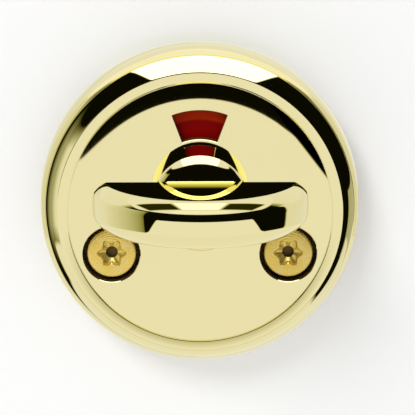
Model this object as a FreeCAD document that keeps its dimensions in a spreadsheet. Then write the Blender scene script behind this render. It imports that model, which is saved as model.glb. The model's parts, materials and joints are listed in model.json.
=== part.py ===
import FreeCAD, Part
import math
import os
import Sketcher

# Bathroom thumb turn lock. Sketch frame: X right, Y up the door, Z out of the door towards the hand,
# with the turn axis on Z and the door's face at Z = 0. Every piece is then stood up, so that +Z is up.

SIZES = [
    # rose
    ("rose_diameter", 55.0, "rose, across its foot on the door"),
    ("rose_height", 11.2, "door to the rose's flat face"),
    ("axis_rise", 4.4, "turn axis above the rose's centre"),
    ("side_height", 6.2, "height of the rose's side wall"),
    ("side_draft", 0.4, "taper of the side wall on radius"),
    ("shoulder_width", 0.7, "small round at the top of the side wall, radial"),
    ("shoulder_rise", 0.7, "small round at the top of the side wall, height"),
    ("shoulder_radius", 1.45, "small round at the top of the side wall, radius"),
    ("bulge_width", 2.25, "convex rim between shoulder and crest, radial"),
    ("bulge_radius", 6.1, "convex rim between shoulder and crest, radius"),
    ("band_width", 1.85, "level band between crest and flat face, radial"),
    ("band_fall", 0.06, "fall of the band towards the flat face"),
    ("groove_width", 0.45, "groove between band and flat face, radial"),
    ("groove_wall", 0.15, "radial run of the groove's inner wall"),
    ("face_groove_depth", 0.2, "groove between band and flat face, depth"),
    ("face_roll", 3.1, "flat face, radial run of its rolled edge"),
    ("face_fall", 0.1, "flat face, drop of its rolled edge"),
    ("face_wall", 2.0, "wall behind the flat face"),
    ("rim_wall", 2.6, "wall of the rim at the back"),
    ("crown_wall", 0.6, "cavity's top edge inside the face's edge"),
    ("plate_ledge", 0.8, "ledge that the back plate rests on"),
    # window
    ("window_inner_radius", 8.35, "window, from the turn axis"),
    ("window_outer_radius", 13.25, "window, from the turn axis"),
    ("window_angle", 41.0, "window's sector"),
    # fixing screws
    ("screw_spacing", 30.0, "fixing screws, centre to centre"),
    ("screw_drop", 11.5, "fixing screws below the turn axis"),
    ("screw_diameter", 5.0, "fixing screw's thread"),
    ("screw_neck_diameter", 4.4, "fixing screw's plain neck"),
    ("screw_neck_reach", 1.0, "end of the neck behind the door's face"),
    ("screw_length", 45.0, "fixing screw under its head"),
    ("screw_tip", 0.8, "chamfer on the screw's end"),
    ("screw_head_diameter", 8.3, "cheese head"),
    ("screw_head_height", 3.65, "cheese head"),
    ("screw_head_edge", 0.3, "chamfer round the head's top"),
    ("screw_clearance", 0.25, "shank to hole, on radius"),
    ("counterbore_diameter", 9.7, "counterbore in the rose"),
    ("counterbore_depth", 4.2, "counterbore in the rose"),
    ("boss_wall", 1.6, "wall of a screw boss"),
    ("recess_width", 4.5, "six-lobe recess over its lobes"),
    ("recess_lobe_radius", 0.68, "round of a lobe"),
    ("recess_core_radius", 1.66, "six-lobe recess between its lobes"),
    ("recess_depth", 2.2, "six-lobe recess"),
    # thumb turn
    ("hub_diameter", 15.7, "hub"),
    ("hub_length", 12.8, "flat face to the hub's end"),
    ("hub_gap", 0.2, "hub's back above the flat face"),
    ("hub_edge", 1.3, "round on the hub's front edge"),
    ("wing_thickness", 8.0, "wing"),
    ("wing_radius", 17.75, "wing's rim"),
    ("wing_setback", 1.65, "centre of the wing's arc behind its straight edge"),
    ("wing_bevel_width", 2.35, "bevel between the wing's flat and its rim"),
    ("wing_bevel_height", 1.7, "bevel between the wing's flat and its rim"),
    ("wing_bevel_radius", 5.0, "convex bevel"),
    ("wing_brow_width", 0.3, "small round between bevel and rim, radial"),
    ("wing_brow_height", 1.0, "small round between bevel and rim, height"),
    ("wing_brow_radius", 2.2, "small round between bevel and rim"),
    ("shaft_diameter", 10.0, "shaft"),
    ("shaft_flats", 8.0, "shaft, across its two flats"),
    ("shaft_end", 0.2, "shaft's end above the door"),
    # spindle
    ("spindle_width", 5.0, "square spindle"),
    ("spindle_reach", 45.0, "spindle's length behind the door's face"),
    ("spindle_grip", 20.0, "top of the spindle in the hub, above the door"),
    ("spindle_chamfer", 0.8, "turned chamfer on both ends"),
    ("spindle_clearance", 0.05, "spindle to its bore, each side"),
    ("set_screw_diameter", 4.0, "set screw"),
    ("set_screw_height", 17.0, "set screw above the door"),
    ("set_screw_sink", 0.8, "set screw's end below the hub's surface"),
    ("set_screw_socket", 2.0, "hexagon socket across flats"),
    ("set_screw_socket_depth", 1.8, "hexagon socket"),
    ("thread_clearance", 0.05, "screw to tapped hole, on radius"),
    # bearings
    ("running_clearance", 0.05, "shaft to bush, on radius"),
    ("press_clearance", 0.02, "bush or pin to its seat, on radius"),
    ("bush_wall", 1.0, "wall of a bush"),
    ("bush_flange_diameter", 15.6, "front bush's flange"),
    ("bush_flange", 0.7, "thickness of a bush's flange"),
    ("bush_recess", 0.1, "bush's end below the face it sits in"),
    ("rear_flange_diameter", 14.6, "rear bush's flange"),
    ("end_play", 0.1, "indicator disc behind the front bush"),
    # pieces on the shaft
    ("disc_clearance", 0.45, "indicator disc's round part to the screw bosses"),
    ("flag_diameter", 27.4, "indicator disc, over the sector behind the window"),
    ("flag_clearance", 0.15, "indicator disc's sector to the screw bosses"),
    ("flag_spare", 1.5, "sector beyond a colour field, in degrees"),
    ("disc_thickness", 0.8, "indicator disc"),
    ("field_thickness", 0.15, "colour field"),
    ("field_gap", 0.35, "colour field to the front bush's flange"),
    ("field_margin", 0.3, "colour field inside the sector's edge"),
    ("field_angle", 43.0, "colour field's sector"),
    ("drive_clearance", 0.04, "disc and cam on the shaft, each side"),
    ("cam_diameter", 18.6, "detent cam"),
    ("cam_thickness", 1.3, "detent cam's notched rim"),
    ("cam_collar_diameter", 14.0, "collar that spaces the cam's rim off the washers"),
    ("notch_width", 3.2, "detent notch at the cam's edge"),
    ("notch_depth", 1.0, "detent notch"),
    ("washer_thickness", 0.6, "spring washer and thrust washer"),
    ("washer_rise", 0.3, "cone of the spring washer"),
    ("washer_diameter", 15.0, "spring washer and thrust washer"),
    ("washer_clearance", 0.2, "washer to shaft, on radius"),
    ("ring_thickness", 1.0, "retaining ring"),
    ("ring_width", 1.7, "retaining ring, radial"),
    ("ring_gap", 3.0, "opening of the retaining ring"),
    ("ring_clearance", 0.2, "retaining ring in front of the rear bush"),
    ("ring_lug_radius", 1.5, "lug at the opening"),
    ("ring_eye_radius", 0.75, "hole in the lug"),
    ("groove_depth", 0.25, "groove in the shaft, on radius"),
    ("groove_clearance", 0.05, "retaining ring in its groove"),
    # stop and detent
    ("stop_gap", 0.55, "stop pin to the front bush's flange"),
    ("stop_diameter", 2.5, "stop pin"),
    ("stop_length", 2.8, "stop pin"),
    ("stop_seat", 1.3, "stop pin pressed into the rose"),
    ("stop_angle", 225.0, "stop pin's place round the turn axis"),
    ("stop_clearance", 0.3, "stop pin in the disc's slot, all round"),
    ("turn_angle", 90.0, "quarter turn from locked to free"),
    ("leaf_thickness", 0.5, "detent spring"),
    ("leaf_height", 1.1, "detent spring, along the shaft"),
    ("leaf_span", 15.6, "detent spring, over its ends"),
    ("leaf_drop", 11.4, "detent spring's upper side below the turn axis"),
    ("leaf_foot", 2.6, "detent spring's turned-down ends"),
    ("leaf_clearance", 0.3, "room beyond the spring's ends in the casting"),
    ("nose_width", 3.6, "spring's nose at its root"),
    ("nose_tip", 0.8, "spring's nose at its tip"),
    ("nose_clearance", 0.3, "spring's nose to the notch's floor"),
    ("post_width", 1.5, "posts under the spring"),
    ("post_depth", 3.4, "posts under the spring"),
    ("post_clearance", 0.1, "post to the spring's end"),
    # back plate
    ("plate_thickness", 1.5, "back plate"),
    ("plate_inset", 0.2, "back plate's back above the door"),
    ("plate_clearance", 0.1, "back plate in the rose, on radius"),
    ("plate_screw_circle", 20.6, "plate screws from the rose's centre"),
    ("plate_screw_diameter", 3.0, "plate screw"),
    ("plate_screw_head", 5.5, "countersunk head"),
    ("plate_screw_length", 5.5, "plate screw over all"),
    ("plate_screw_slot", 0.8, "cross recess, width of an arm"),
    ("plate_screw_arm", 2.8, "cross recess, over its arms"),
    ("plate_screw_recess", 0.8, "cross recess, depth"),
    ("tap_spare", 1.0, "tapped hole beyond the screw's end"),
]

doc = FreeCAD.newDocument("thumb_turn_lock")
sheet = doc.addObject("Spreadsheet::Sheet", "dims")
pieces = []


class Size:
    """A length taken from the sheet: its expression, and its present value for a sketch's first shape."""

    def __init__(self, text, value):
        self.text = text
        self.value = value

    def __add__(self, other):
        other = as_size(other)
        return Size(f"({self.text} + {other.text})", self.value + other.value)

    def __sub__(self, other):
        other = as_size(other)
        return Size(f"({self.text} - {other.text})", self.value - other.value)

    def __mul__(self, other):
        other = as_size(other)
        return Size(f"({self.text} * {other.text})", self.value * other.value)

    def __truediv__(self, other):
        other = as_size(other)
        return Size(f"({self.text} / {other.text})", self.value / other.value)

    def __neg__(self):
        return Size(f"(0 - {self.text})", -self.value)


def as_size(number):
    return number if isinstance(number, Size) else Size(f"({number!r})", float(number))


def size(alias):
    return Size(f"dims.{alias}", float(sheet.get(alias)))


def half(alias):
    return size(alias) / 2


def cosine(angle):
    angle = as_size(angle)
    return Size(f"cos({angle.text} * 1 deg)", math.cos(math.radians(angle.value)))


def sine(angle):
    angle = as_size(angle)
    return Size(f"sin({angle.text} * 1 deg)", math.sin(math.radians(angle.value)))


def root(length):
    return Size(f"sqrt({length.text})", math.sqrt(length.value))


def write_sheet():
    for row, (alias, value, note) in enumerate(SIZES, start=1):
        sheet.set(f"A{row}", note)
        sheet.set(f"B{row}", str(value))
        sheet.setAlias(f"B{row}", alias)
    doc.recompute()


def bind(obj, prop, length):
    obj.setExpression(prop, as_size(length).text)


def cylinder(name, radius, low, high, x=0, y=0):
    """A round solid along the turn axis, from one height above the door to another."""
    obj = doc.addObject("Part::Cylinder", name)
    bind(obj, "Radius", radius)
    bind(obj, "Height", as_size(high) - low)
    bind(obj, "Placement.Base.x", x)
    bind(obj, "Placement.Base.y", y)
    bind(obj, "Placement.Base.z", low)
    return obj


def cone(name, low_radius, high_radius, low, high, x=0, y=0):
    obj = doc.addObject("Part::Cone", name)
    bind(obj, "Radius1", low_radius)
    bind(obj, "Radius2", high_radius)
    bind(obj, "Height", as_size(high) - low)
    bind(obj, "Placement.Base.x", x)
    bind(obj, "Placement.Base.y", y)
    bind(obj, "Placement.Base.z", low)
    return obj


def block(name, width, depth, low, high, x=0, y=0):
    """A box centred on x and y, from one height above the door to another."""
    obj = doc.addObject("Part::Box", name)
    bind(obj, "Length", width)
    bind(obj, "Width", depth)
    bind(obj, "Height", as_size(high) - low)
    bind(obj, "Placement.Base.x", as_size(x) - as_size(width) / 2)
    bind(obj, "Placement.Base.y", as_size(y) - as_size(depth) / 2)
    bind(obj, "Placement.Base.z", low)
    return obj


def sector(name, inner, outer, start, sweep, low, high):
    """A slice of a ring about the turn axis, its angles in degrees from X."""
    slice_ = cylinder(f"{name}_slice", outer, low, high)
    bind(slice_, "Angle", sweep)
    slice_.Placement.Rotation = FreeCAD.Rotation(FreeCAD.Vector(0, 0, 1), 1)
    bind(slice_, "Placement.Rotation.Angle", start)
    core = cylinder(f"{name}_core", inner, as_size(low) - 1, as_size(high) + 1)
    return cut(name, slice_, core)


def fuse(name, *shapes):
    obj = doc.addObject("Part::MultiFuse", name)
    obj.Shapes = list(shapes)
    return obj


def cut(name, base, *tools):
    obj = doc.addObject("Part::Cut", name)
    obj.Base = base
    obj.Tool = tools[0] if len(tools) == 1 else fuse(f"{name}_tools", *tools)
    return obj


def common(name, first, second):
    obj = doc.addObject("Part::Common", name)
    obj.Base = first
    obj.Tool = second
    return obj


def piece(obj):
    """Stands a finished piece up on the door and keeps it for the hand-in."""
    obj.Placement = FreeCAD.Placement(
        FreeCAD.Vector(0, 0, 0), FreeCAD.Rotation(FreeCAD.Vector(1, 0, 0), 90)
    )
    pieces.append(obj)
    return obj


def new_body(name):
    return doc.addObject("PartDesign::Body", name)


def new_sketch(body, name, role, height=None):
    """A sketch on one of the body's own planes, moved along the plane's normal."""
    sketch = body.newObject("Sketcher::SketchObject", name)
    plane = next(f for f in body.Origin.OriginFeatures if f.Role == role)
    sketch.AttachmentSupport = [(plane, "")]
    sketch.MapMode = "FlatFace"
    if height is not None:
        bind(sketch, "AttachmentOffset.Base.z", height)
    return sketch


def drive(sketch, kind, geometry, point, length):
    """Ties one coordinate of a sketch's point to the sheet."""
    axis = -2 if kind == "DistanceX" else -1
    if not isinstance(length, Size):
        sketch.addConstraint(Sketcher.Constraint("PointOnObject", geometry, point, axis))
        return
    index = sketch.addConstraint(
        Sketcher.Constraint(kind, -1, 1, geometry, point, length.value)
    )
    sketch.setExpression(f"Constraints[{index}]", length.text)


def arc_between(first, last, radius, turn):
    """The short arc between two points that bends left (turn 1) or right (turn -1) of the way along."""
    chord = last - first
    middle = (first + last) * 0.5
    rise = math.sqrt(max(radius**2 - (chord.Length / 2) ** 2, 0.0))
    normal = FreeCAD.Vector(-chord.y, chord.x, 0).normalize()
    centre = middle + normal * (rise * turn)
    ends = [math.atan2(p.y - centre.y, p.x - centre.x) for p in (first, last)]
    if turn < 0:
        ends.reverse()
    circle = Part.Circle(centre, FreeCAD.Vector(0, 0, 1), radius)
    return Part.ArcOfCircle(circle, ends[0], ends[1])


def outline(sketch, corners):
    """A closed outline. Each corner is x, y and, where the next side is an arc, its radius and turn.

    A coordinate given as a plain 0 lies on the sketch's axis.
    """
    places = [
        FreeCAD.Vector(as_size(c[0]).value, as_size(c[1]).value, 0) for c in corners
    ]
    sides = []
    for index, corner in enumerate(corners):
        first = places[index]
        last = places[(index + 1) % len(corners)]
        if len(corner) == 2:
            side = sketch.addGeometry(Part.LineSegment(first, last), False)
            sides.append((side, 1, 2))
        else:
            radius, turn = corner[2:]
            arc = arc_between(first, last, radius.value, turn)
            side = sketch.addGeometry(arc, False)
            sides.append((side, 1, 2) if turn > 0 else (side, 2, 1))
    for index, (side, start, _) in enumerate(sides):
        before, _, end = sides[index - 1]
        sketch.addConstraint(Sketcher.Constraint("Coincident", before, end, side, start))
    for corner, (side, start, _) in zip(corners, sides):
        drive(sketch, "DistanceX", side, start, corner[0])
        drive(sketch, "DistanceY", side, start, corner[1])
        if len(corner) == 4:
            radius = corner[2]
            index = sketch.addConstraint(Sketcher.Constraint("Radius", side, radius.value))
            sketch.setExpression(f"Constraints[{index}]", radius.text)


def circles(sketch, radius, centres):
    for x, y in centres:
        at = FreeCAD.Vector(as_size(x).value, as_size(y).value, 0)
        circle = Part.Circle(at, FreeCAD.Vector(0, 0, 1), radius.value)
        side = sketch.addGeometry(circle, False)
        drive(sketch, "DistanceX", side, 3, x)
        drive(sketch, "DistanceY", side, 3, y)
        index = sketch.addConstraint(Sketcher.Constraint("Radius", side, radius.value))
        sketch.setExpression(f"Constraints[{index}]", radius.text)


def revolve(body, name, sketch, angle=360.0, back=False):
    feature = body.newObject("PartDesign::Revolution", name)
    feature.Profile = sketch
    feature.ReferenceAxis = (sketch, ["V_Axis"])
    feature.Angle = angle
    feature.Reversed = back
    return feature


def pad(body, name, sketch, length):
    feature = body.newObject("PartDesign::Pad", name)
    feature.Profile = sketch
    bind(feature, "Length", length)
    return feature


def ceiling():
    """The inner side of the wall behind the flat face."""
    return size("rose_height") - size("face_wall")


def plate_top():
    return size("plate_inset") + size("plate_thickness")


def disc_top():
    return ceiling() - size("bush_flange") - size("end_play")


def disc_back():
    return disc_top() - size("disc_thickness")


def rim_back():
    """The back of the cam's notched rim, which lies against the disc."""
    return disc_back() - size("cam_thickness")


def ring_top():
    """The retaining ring's front. It sits just in front of the rear bush, and the washers lie on it."""
    bush = plate_top() + size("bush_flange")
    return bush + size("ring_clearance") + size("ring_thickness")


def spring_back():
    return ring_top() + size("washer_thickness")


def cam_back():
    """The back of the cam's collar, which fills the way from the washers to the rim."""
    return spring_back() + size("washer_rise") + size("washer_thickness")


def groove_radius():
    return half("shaft_diameter") - size("groove_depth")


def leaf_top():
    return -size("leaf_drop")


def screw_places():
    x = half("screw_spacing")
    y = -size("screw_drop")
    return [(-x, y), (x, y)]


def boss_radius():
    return half("counterbore_diameter") + size("boss_wall")


def boss_reach():
    """A fixing screw's distance from the turn axis."""
    x, y = screw_places()[1]
    return root(x * x + y * y)


def boss_ways(name, low, high):
    """Room for the screw bosses in what turns: the left one at rest, the right one after the turn."""
    left, (x, y) = screw_places()
    across = cosine(size("turn_angle"))
    along = sine(size("turn_angle"))
    right = (x * across - y * along, x * along + y * across)
    radius = boss_radius() + size("flag_clearance")
    return [
        cylinder(f"{name}_way_{number}", radius, low, high, *place)
        for number, place in enumerate((left, right), start=1)
    ]


def plate_screw_places():
    reach = size("plate_screw_circle")
    return [
        (reach * cosine(angle), reach * sine(angle) - size("axis_rise"))
        for angle in (30, 150, 270)
    ]


def stop_reach():
    """The stop pin's distance from the turn axis."""
    return half("bush_flange_diameter") + half("stop_diameter") + size("stop_gap")


def stop_place():
    reach = stop_reach()
    angle = size("stop_angle")
    return reach * cosine(angle), reach * sine(angle)


def wide_shaft(name, spare, low, high):
    """The shaft's round section with two flats, made wider all round by a clearance."""
    round_ = cylinder(f"{name}_round", half("shaft_diameter") + spare, low, high)
    reach = size("shaft_diameter") * 2
    flats = block(f"{name}_flats", size("shaft_flats") + spare * 2, reach, low, high)
    return common(name, round_, flats)


def rose_shell(body):
    """The turned outside of the casting and its hollow back, about the rose's own centre."""
    foot = half("rose_diameter")
    side = foot - size("side_draft")
    neck = side - size("shoulder_width")
    crest = neck - size("bulge_width")
    face = crest - size("band_width")
    top = size("rose_height")
    roll = size("face_roll")
    fall = size("face_fall")
    cavity = foot - size("rim_wall")
    sketch = new_sketch(body, "rose_profile", "XZ_Plane", size("axis_rise"))
    outline(
        sketch,
        [
            (0, top),
            (0, ceiling()),
            (face - size("crown_wall"), ceiling()),
            (cavity, size("side_height")),
            (cavity, plate_top()),
            (cavity + size("plate_ledge"), plate_top()),
            (cavity + size("plate_ledge"), 0),
            (foot, 0),
            (side, size("side_height"), size("shoulder_radius"), 1),
            (neck, size("side_height") + size("shoulder_rise"), size("bulge_radius"), 1),
            (crest, top),
            (face + size("groove_width"), top - size("band_fall")),
            (face + size("groove_wall"), top - size("face_groove_depth")),
            (face, top - fall, (roll * roll / fall + fall) / 2, 1),
            (face - roll, top),
        ],
    )
    revolve(body, "rose_turning", sketch)


def rose_bosses(body):
    """Bosses for the fixing screws and the plate screws, and the posts under the detent spring."""
    into_wall = ceiling() - plate_top() + size("face_wall") / 2
    sketch = new_sketch(body, "screw_boss_plan", "XY_Plane", plate_top())
    circles(sketch, boss_radius(), screw_places())
    pad(body, "screw_bosses", sketch, into_wall)
    sketch = new_sketch(body, "plate_boss_plan", "XY_Plane", plate_top())
    circles(sketch, half("plate_screw_diameter") + size("boss_wall"), plate_screw_places())
    pad(body, "plate_bosses", sketch, into_wall)
    outer = half("leaf_span") - size("leaf_thickness") - size("post_clearance")
    inner = outer - size("post_width")
    high = leaf_top() - size("leaf_thickness")
    low = high - size("post_depth")
    sketch = new_sketch(body, "post_plan", "XY_Plane", plate_top())
    outline(sketch, [(inner, low), (outer, low), (outer, high), (inner, high)])
    outline(sketch, [(-outer, low), (-inner, low), (-inner, high), (-outer, high)])
    pad(body, "spring_posts", sketch, into_wall)


def spring_ways():
    """Room in the casting for the detent spring's leaf, and for its turned-down ends beside the posts."""
    spare = size("leaf_clearance")
    inner = half("leaf_span") - size("leaf_thickness") - size("post_clearance")
    outer = half("leaf_span") + spare
    high = leaf_top() + spare
    under = leaf_top() - size("leaf_thickness")
    low = under - size("leaf_foot") - spare
    middle = (inner + outer) / 2
    plans = [
        ("leaf", outer * 2, under, 0),
        ("left_end", outer - inner, low, -middle),
        ("right_end", outer - inner, low, middle),
    ]
    return [
        block(
            f"spring_way_{name}",
            width,
            high - foot,
            plate_top() - 1,
            ceiling(),
            place,
            (high + foot) / 2,
        )
        for name, width, foot, place in plans
    ]


def make_rose():
    body = new_body("rose_casting")
    rose_shell(body)
    rose_bosses(body)
    top = size("rose_height")
    beyond = top + 1
    seat = top - size("counterbore_depth")
    openings = [
        cylinder(
            "shaft_hole",
            half("shaft_diameter") + size("running_clearance") + size("bush_wall"),
            ceiling() - 1,
            beyond,
        ),
        sector(
            "window",
            size("window_inner_radius"),
            size("window_outer_radius"),
            as_size(90) - half("window_angle"),
            size("window_angle"),
            ceiling() - 1,
            beyond,
        ),
        cylinder(
            "stop_hole",
            half("stop_diameter") + size("press_clearance"),
            ceiling() - 1,
            ceiling() + size("stop_seat"),
            *stop_place(),
        ),
    ]
    openings.extend(spring_ways())
    for number, place in enumerate(screw_places(), start=1):
        shank = half("screw_diameter") + size("screw_clearance")
        wide = half("counterbore_diameter")
        openings.append(cylinder(f"screw_hole_{number}", shank, 0, beyond, *place))
        openings.append(cylinder(f"counterbore_{number}", wide, seat, beyond, *place))
    tap = half("plate_screw_diameter") + size("thread_clearance")
    tap_end = size("plate_inset") + size("plate_screw_length") + size("tap_spare")
    head = half("plate_screw_head") + size("thread_clearance")
    for number, place in enumerate(plate_screw_places(), start=1):
        openings.append(cylinder(f"tapped_hole_{number}", tap, 0, tap_end, *place))
        openings.append(cylinder(f"plate_head_way_{number}", head, 0, plate_top(), *place))
    piece(cut("rose", body, *openings))


def hub_turning(body):
    """Shaft and hub, turned about the turn axis, with a rounded front edge."""
    shaft = half("shaft_diameter")
    hub = half("hub_diameter")
    back = size("rose_height") + size("hub_gap")
    front = size("rose_height") + size("hub_length")
    edge = size("hub_edge")
    sketch = new_sketch(body, "hub_profile", "XZ_Plane")
    outline(
        sketch,
        [
            (0, size("shaft_end")),
            (shaft, size("shaft_end")),
            (shaft, back),
            (hub, back),
            (hub, front - edge, edge, 1),
            (hub - edge, front),
            (0, front),
        ],
    )
    revolve(body, "hub_and_shaft", sketch)


def wing_solid():
    """The half-moon wing: a bevelled round plate cut off straight where it meets the hub's end."""
    front = size("rose_height") + size("hub_length")
    rim = size("wing_radius")
    brow = rim - size("wing_brow_width")
    flat = rim - size("wing_bevel_width")
    high = half("wing_thickness")
    knee = high - size("wing_bevel_height")
    cheek = knee - size("wing_brow_height")
    body = new_body("wing_plate")
    sketch = new_sketch(body, "wing_profile", "XY_Plane", front - size("wing_setback"))
    bevel = size("wing_bevel_radius")
    round_ = size("wing_brow_radius")
    outline(
        sketch,
        [
            (0, -high),
            (flat, -high, bevel, 1),
            (brow, -knee, round_, 1),
            (rim, -cheek),
            (rim, cheek, round_, 1),
            (brow, knee, bevel, 1),
            (flat, high),
            (0, high),
        ],
    )
    revolve(body, "wing_turning", sketch)
    reach = rim * 3
    ahead = block("ahead_of_hub", reach, reach, front, front + reach)
    return common("half_moon", body, ahead)


def make_thumb_turn():
    """Hub, wing and shaft in one casting, with the bores and flats cut in its shaft."""
    body = new_body("hub_casting")
    hub_turning(body)
    front = size("rose_height") + size("hub_length")
    hub = half("hub_diameter")
    root = common(
        "wing_root",
        cylinder("root_round", hub, front - size("hub_edge") * 2, front),
        block(
            "root_slab",
            hub * 4,
            size("wing_thickness"),
            front - size("hub_edge") * 2,
            front,
        ),
    )
    casting = fuse("turn_casting", body, wing_solid(), root)
    low = size("shaft_end") - 1
    bore = size("spindle_width") + size("spindle_clearance") * 2
    reach = size("shaft_diameter")
    away = half("shaft_flats") + reach / 2
    set_screw = cylinder(
        "set_screw_hole",
        half("set_screw_diameter") + size("thread_clearance"),
        0,
        hub * 2,
    )
    set_screw.Placement.Rotation = FreeCAD.Rotation(FreeCAD.Vector(1, 0, 0), 90)
    bind(set_screw, "Placement.Base.z", size("set_screw_height"))
    groove_low = ring_top() - size("ring_thickness") - size("groove_clearance")
    ring_groove = cut(
        "ring_groove",
        cylinder("groove_outside", half("shaft_diameter") + 1, groove_low, ring_top()),
        cylinder("groove_floor", groove_radius(), groove_low - 1, ring_top() + 1),
    )
    piece(
        cut(
            "thumb_turn",
            casting,
            block("spindle_bore", bore, bore, low, size("spindle_grip")),
            block("flat_left", reach, reach * 2, low, disc_top(), -away),
            block("flat_right", reach, reach * 2, low, disc_top(), away),
            set_screw,
            ring_groove,
        )
    )


def make_spindle():
    top = size("spindle_grip") - size("spindle_clearance")
    low = -size("spindle_reach")
    width = size("spindle_width")
    corner = width * math.sqrt(0.5)
    tip = size("spindle_chamfer")
    bar = block("spindle_bar", width, width, low, top)
    turned = fuse(
        "spindle_turned",
        cone("spindle_low_end", corner - tip, corner, low, low + tip),
        cylinder("spindle_middle", corner, low + tip, top - tip),
        cone("spindle_high_end", corner, corner - tip, top - tip, top),
    )
    piece(common("spindle", bar, turned))


def make_set_screw():
    """Lies across the hub, its point on the spindle's lower side and its socket facing down."""
    start = half("spindle_width")
    end = half("hub_diameter") - size("set_screw_sink")
    screw = cylinder("set_screw_shank", half("set_screw_diameter"), start, end)
    socket = doc.addObject("Part::Prism", "set_screw_hexagon")
    socket.Polygon = 6
    bind(socket, "Circumradius", half("set_screw_socket") / math.cos(math.pi / 6))
    bind(socket, "Height", size("set_screw_socket_depth") + 1)
    bind(socket, "Placement.Base.z", end - size("set_screw_socket_depth"))
    screw = piece(cut("spindle_set_screw", screw, socket))
    screw.Placement.Rotation = FreeCAD.Rotation(FreeCAD.Vector(1, 0, 0), 180)
    screw.setExpression("Placement.Base.y", (-size("set_screw_height")).text)


def make_fixing_screw(name, place):
    """Cheese head with a six-lobe recess, a plain neck, the thread's outside and a chamfered end."""
    seat = size("rose_height") - size("counterbore_depth")
    crown = seat + size("screw_head_height")
    head = half("screw_head_diameter")
    edge = size("screw_head_edge")
    neck = half("screw_neck_diameter")
    neck_end = -size("screw_neck_reach")
    thread = half("screw_diameter")
    end = seat - size("screw_length")
    tip = size("screw_tip")
    floor = crown - size("recess_depth")
    solid = fuse(
        f"{name}_blank",
        cylinder(f"{name}_head", head, seat, crown - edge, *place),
        cone(f"{name}_head_edge", head, head - edge, crown - edge, crown, *place),
        cylinder(f"{name}_neck", neck, neck_end, seat, *place),
        cylinder(f"{name}_thread", thread, end + tip, neck_end, *place),
        cone(f"{name}_tip", thread - tip, thread, end, end + tip, *place),
    )
    x, y = place
    ring = half("recess_width") - size("recess_lobe_radius")
    recess = [
        cylinder(f"{name}_core", size("recess_core_radius"), floor, crown + 1, *place)
    ]
    for lobe in range(6):
        recess.append(
            cylinder(
                f"{name}_lobe_{lobe + 1}",
                size("recess_lobe_radius"),
                floor,
                crown + 1,
                x + ring * cosine(60 * lobe),
                y + ring * sine(60 * lobe),
            )
        )
    piece(cut(name, solid, *recess))


def make_front_bush():
    inner = half("shaft_diameter") + size("running_clearance")
    outer = inner + size("bush_wall") - size("press_clearance")
    low = ceiling() - size("bush_flange")
    high = size("rose_height") - size("bush_recess")
    solid = fuse(
        "front_bush_blank",
        cylinder("front_bush_sleeve", outer, low, high),
        cylinder("front_bush_flange", half("bush_flange_diameter"), low, ceiling()),
    )
    piece(cut("front_bush", solid, cylinder("front_bush_bore", inner, low - 1, high + 1)))


def make_rear_bush():
    inner = half("shaft_diameter") + size("running_clearance")
    outer = inner + size("bush_wall") - size("press_clearance")
    low = size("plate_inset") + size("bush_recess")
    high = plate_top() + size("bush_flange")
    flange = half("rear_flange_diameter")
    solid = fuse(
        "rear_bush_blank",
        cylinder("rear_bush_sleeve", outer, low, high),
        cylinder("rear_bush_flange", flange, plate_top(), high),
    )
    piece(cut("rear_bush", solid, cylinder("rear_bush_bore", inner, low - 1, high + 1)))


def make_back_plate():
    radius = half("rose_diameter") - size("rim_wall") + size("plate_ledge")
    low = size("plate_inset")
    bush = half("shaft_diameter") + size("running_clearance") + size("bush_wall")
    disc = cylinder(
        "plate_disc",
        radius - size("plate_clearance"),
        low,
        plate_top(),
        0,
        -size("axis_rise"),
    )
    openings = [cylinder("plate_bush_hole", bush, low - 1, plate_top() + 1)]
    for number, place in enumerate(screw_places(), start=1):
        shank = half("screw_diameter") + size("screw_clearance")
        openings.append(
            cylinder(f"plate_screw_way_{number}", shank, low - 1, plate_top() + 1, *place)
        )
    spare = size("thread_clearance")
    wide = half("plate_screw_head") + spare
    narrow = half("plate_screw_diameter") + spare
    for number, place in enumerate(plate_screw_places(), start=1):
        openings.append(
            cone(f"countersink_{number}", wide, narrow, low, low + wide - narrow, *place)
        )
        openings.append(
            cylinder(f"plate_way_{number}", narrow, low - 1, plate_top() + 1, *place)
        )
    piece(cut("back_plate", disc, *openings))


def make_plate_screw(name, place):
    """Countersunk screw whose head lies flush with the plate's back."""
    low = size("plate_inset")
    head = half("plate_screw_head")
    shank = half("plate_screw_diameter")
    solid = fuse(
        f"{name}_blank",
        cone(f"{name}_head", head, shank, low, low + head - shank, *place),
        cylinder(f"{name}_shank", shank, low, low + size("plate_screw_length"), *place),
    )
    arm = size("plate_screw_arm")
    slot = size("plate_screw_slot")
    floor = low + size("plate_screw_recess")
    piece(
        cut(
            name,
            solid,
            block(f"{name}_slot_level", arm, slot, low - 1, floor, *place),
            block(f"{name}_slot_upright", slot, arm, low - 1, floor, *place),
        )
    )


def make_stop_pin():
    high = ceiling() + size("stop_seat")
    low = high - size("stop_length")
    piece(cylinder("stop_pin", half("stop_diameter"), low, high, *stop_place()))
    x, y = stop_place()
    pin = pieces[-1]
    bind(pin, "Placement.Base.x", x)
    bind(pin, "Placement.Base.y", -low)
    bind(pin, "Placement.Base.z", y)


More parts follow.
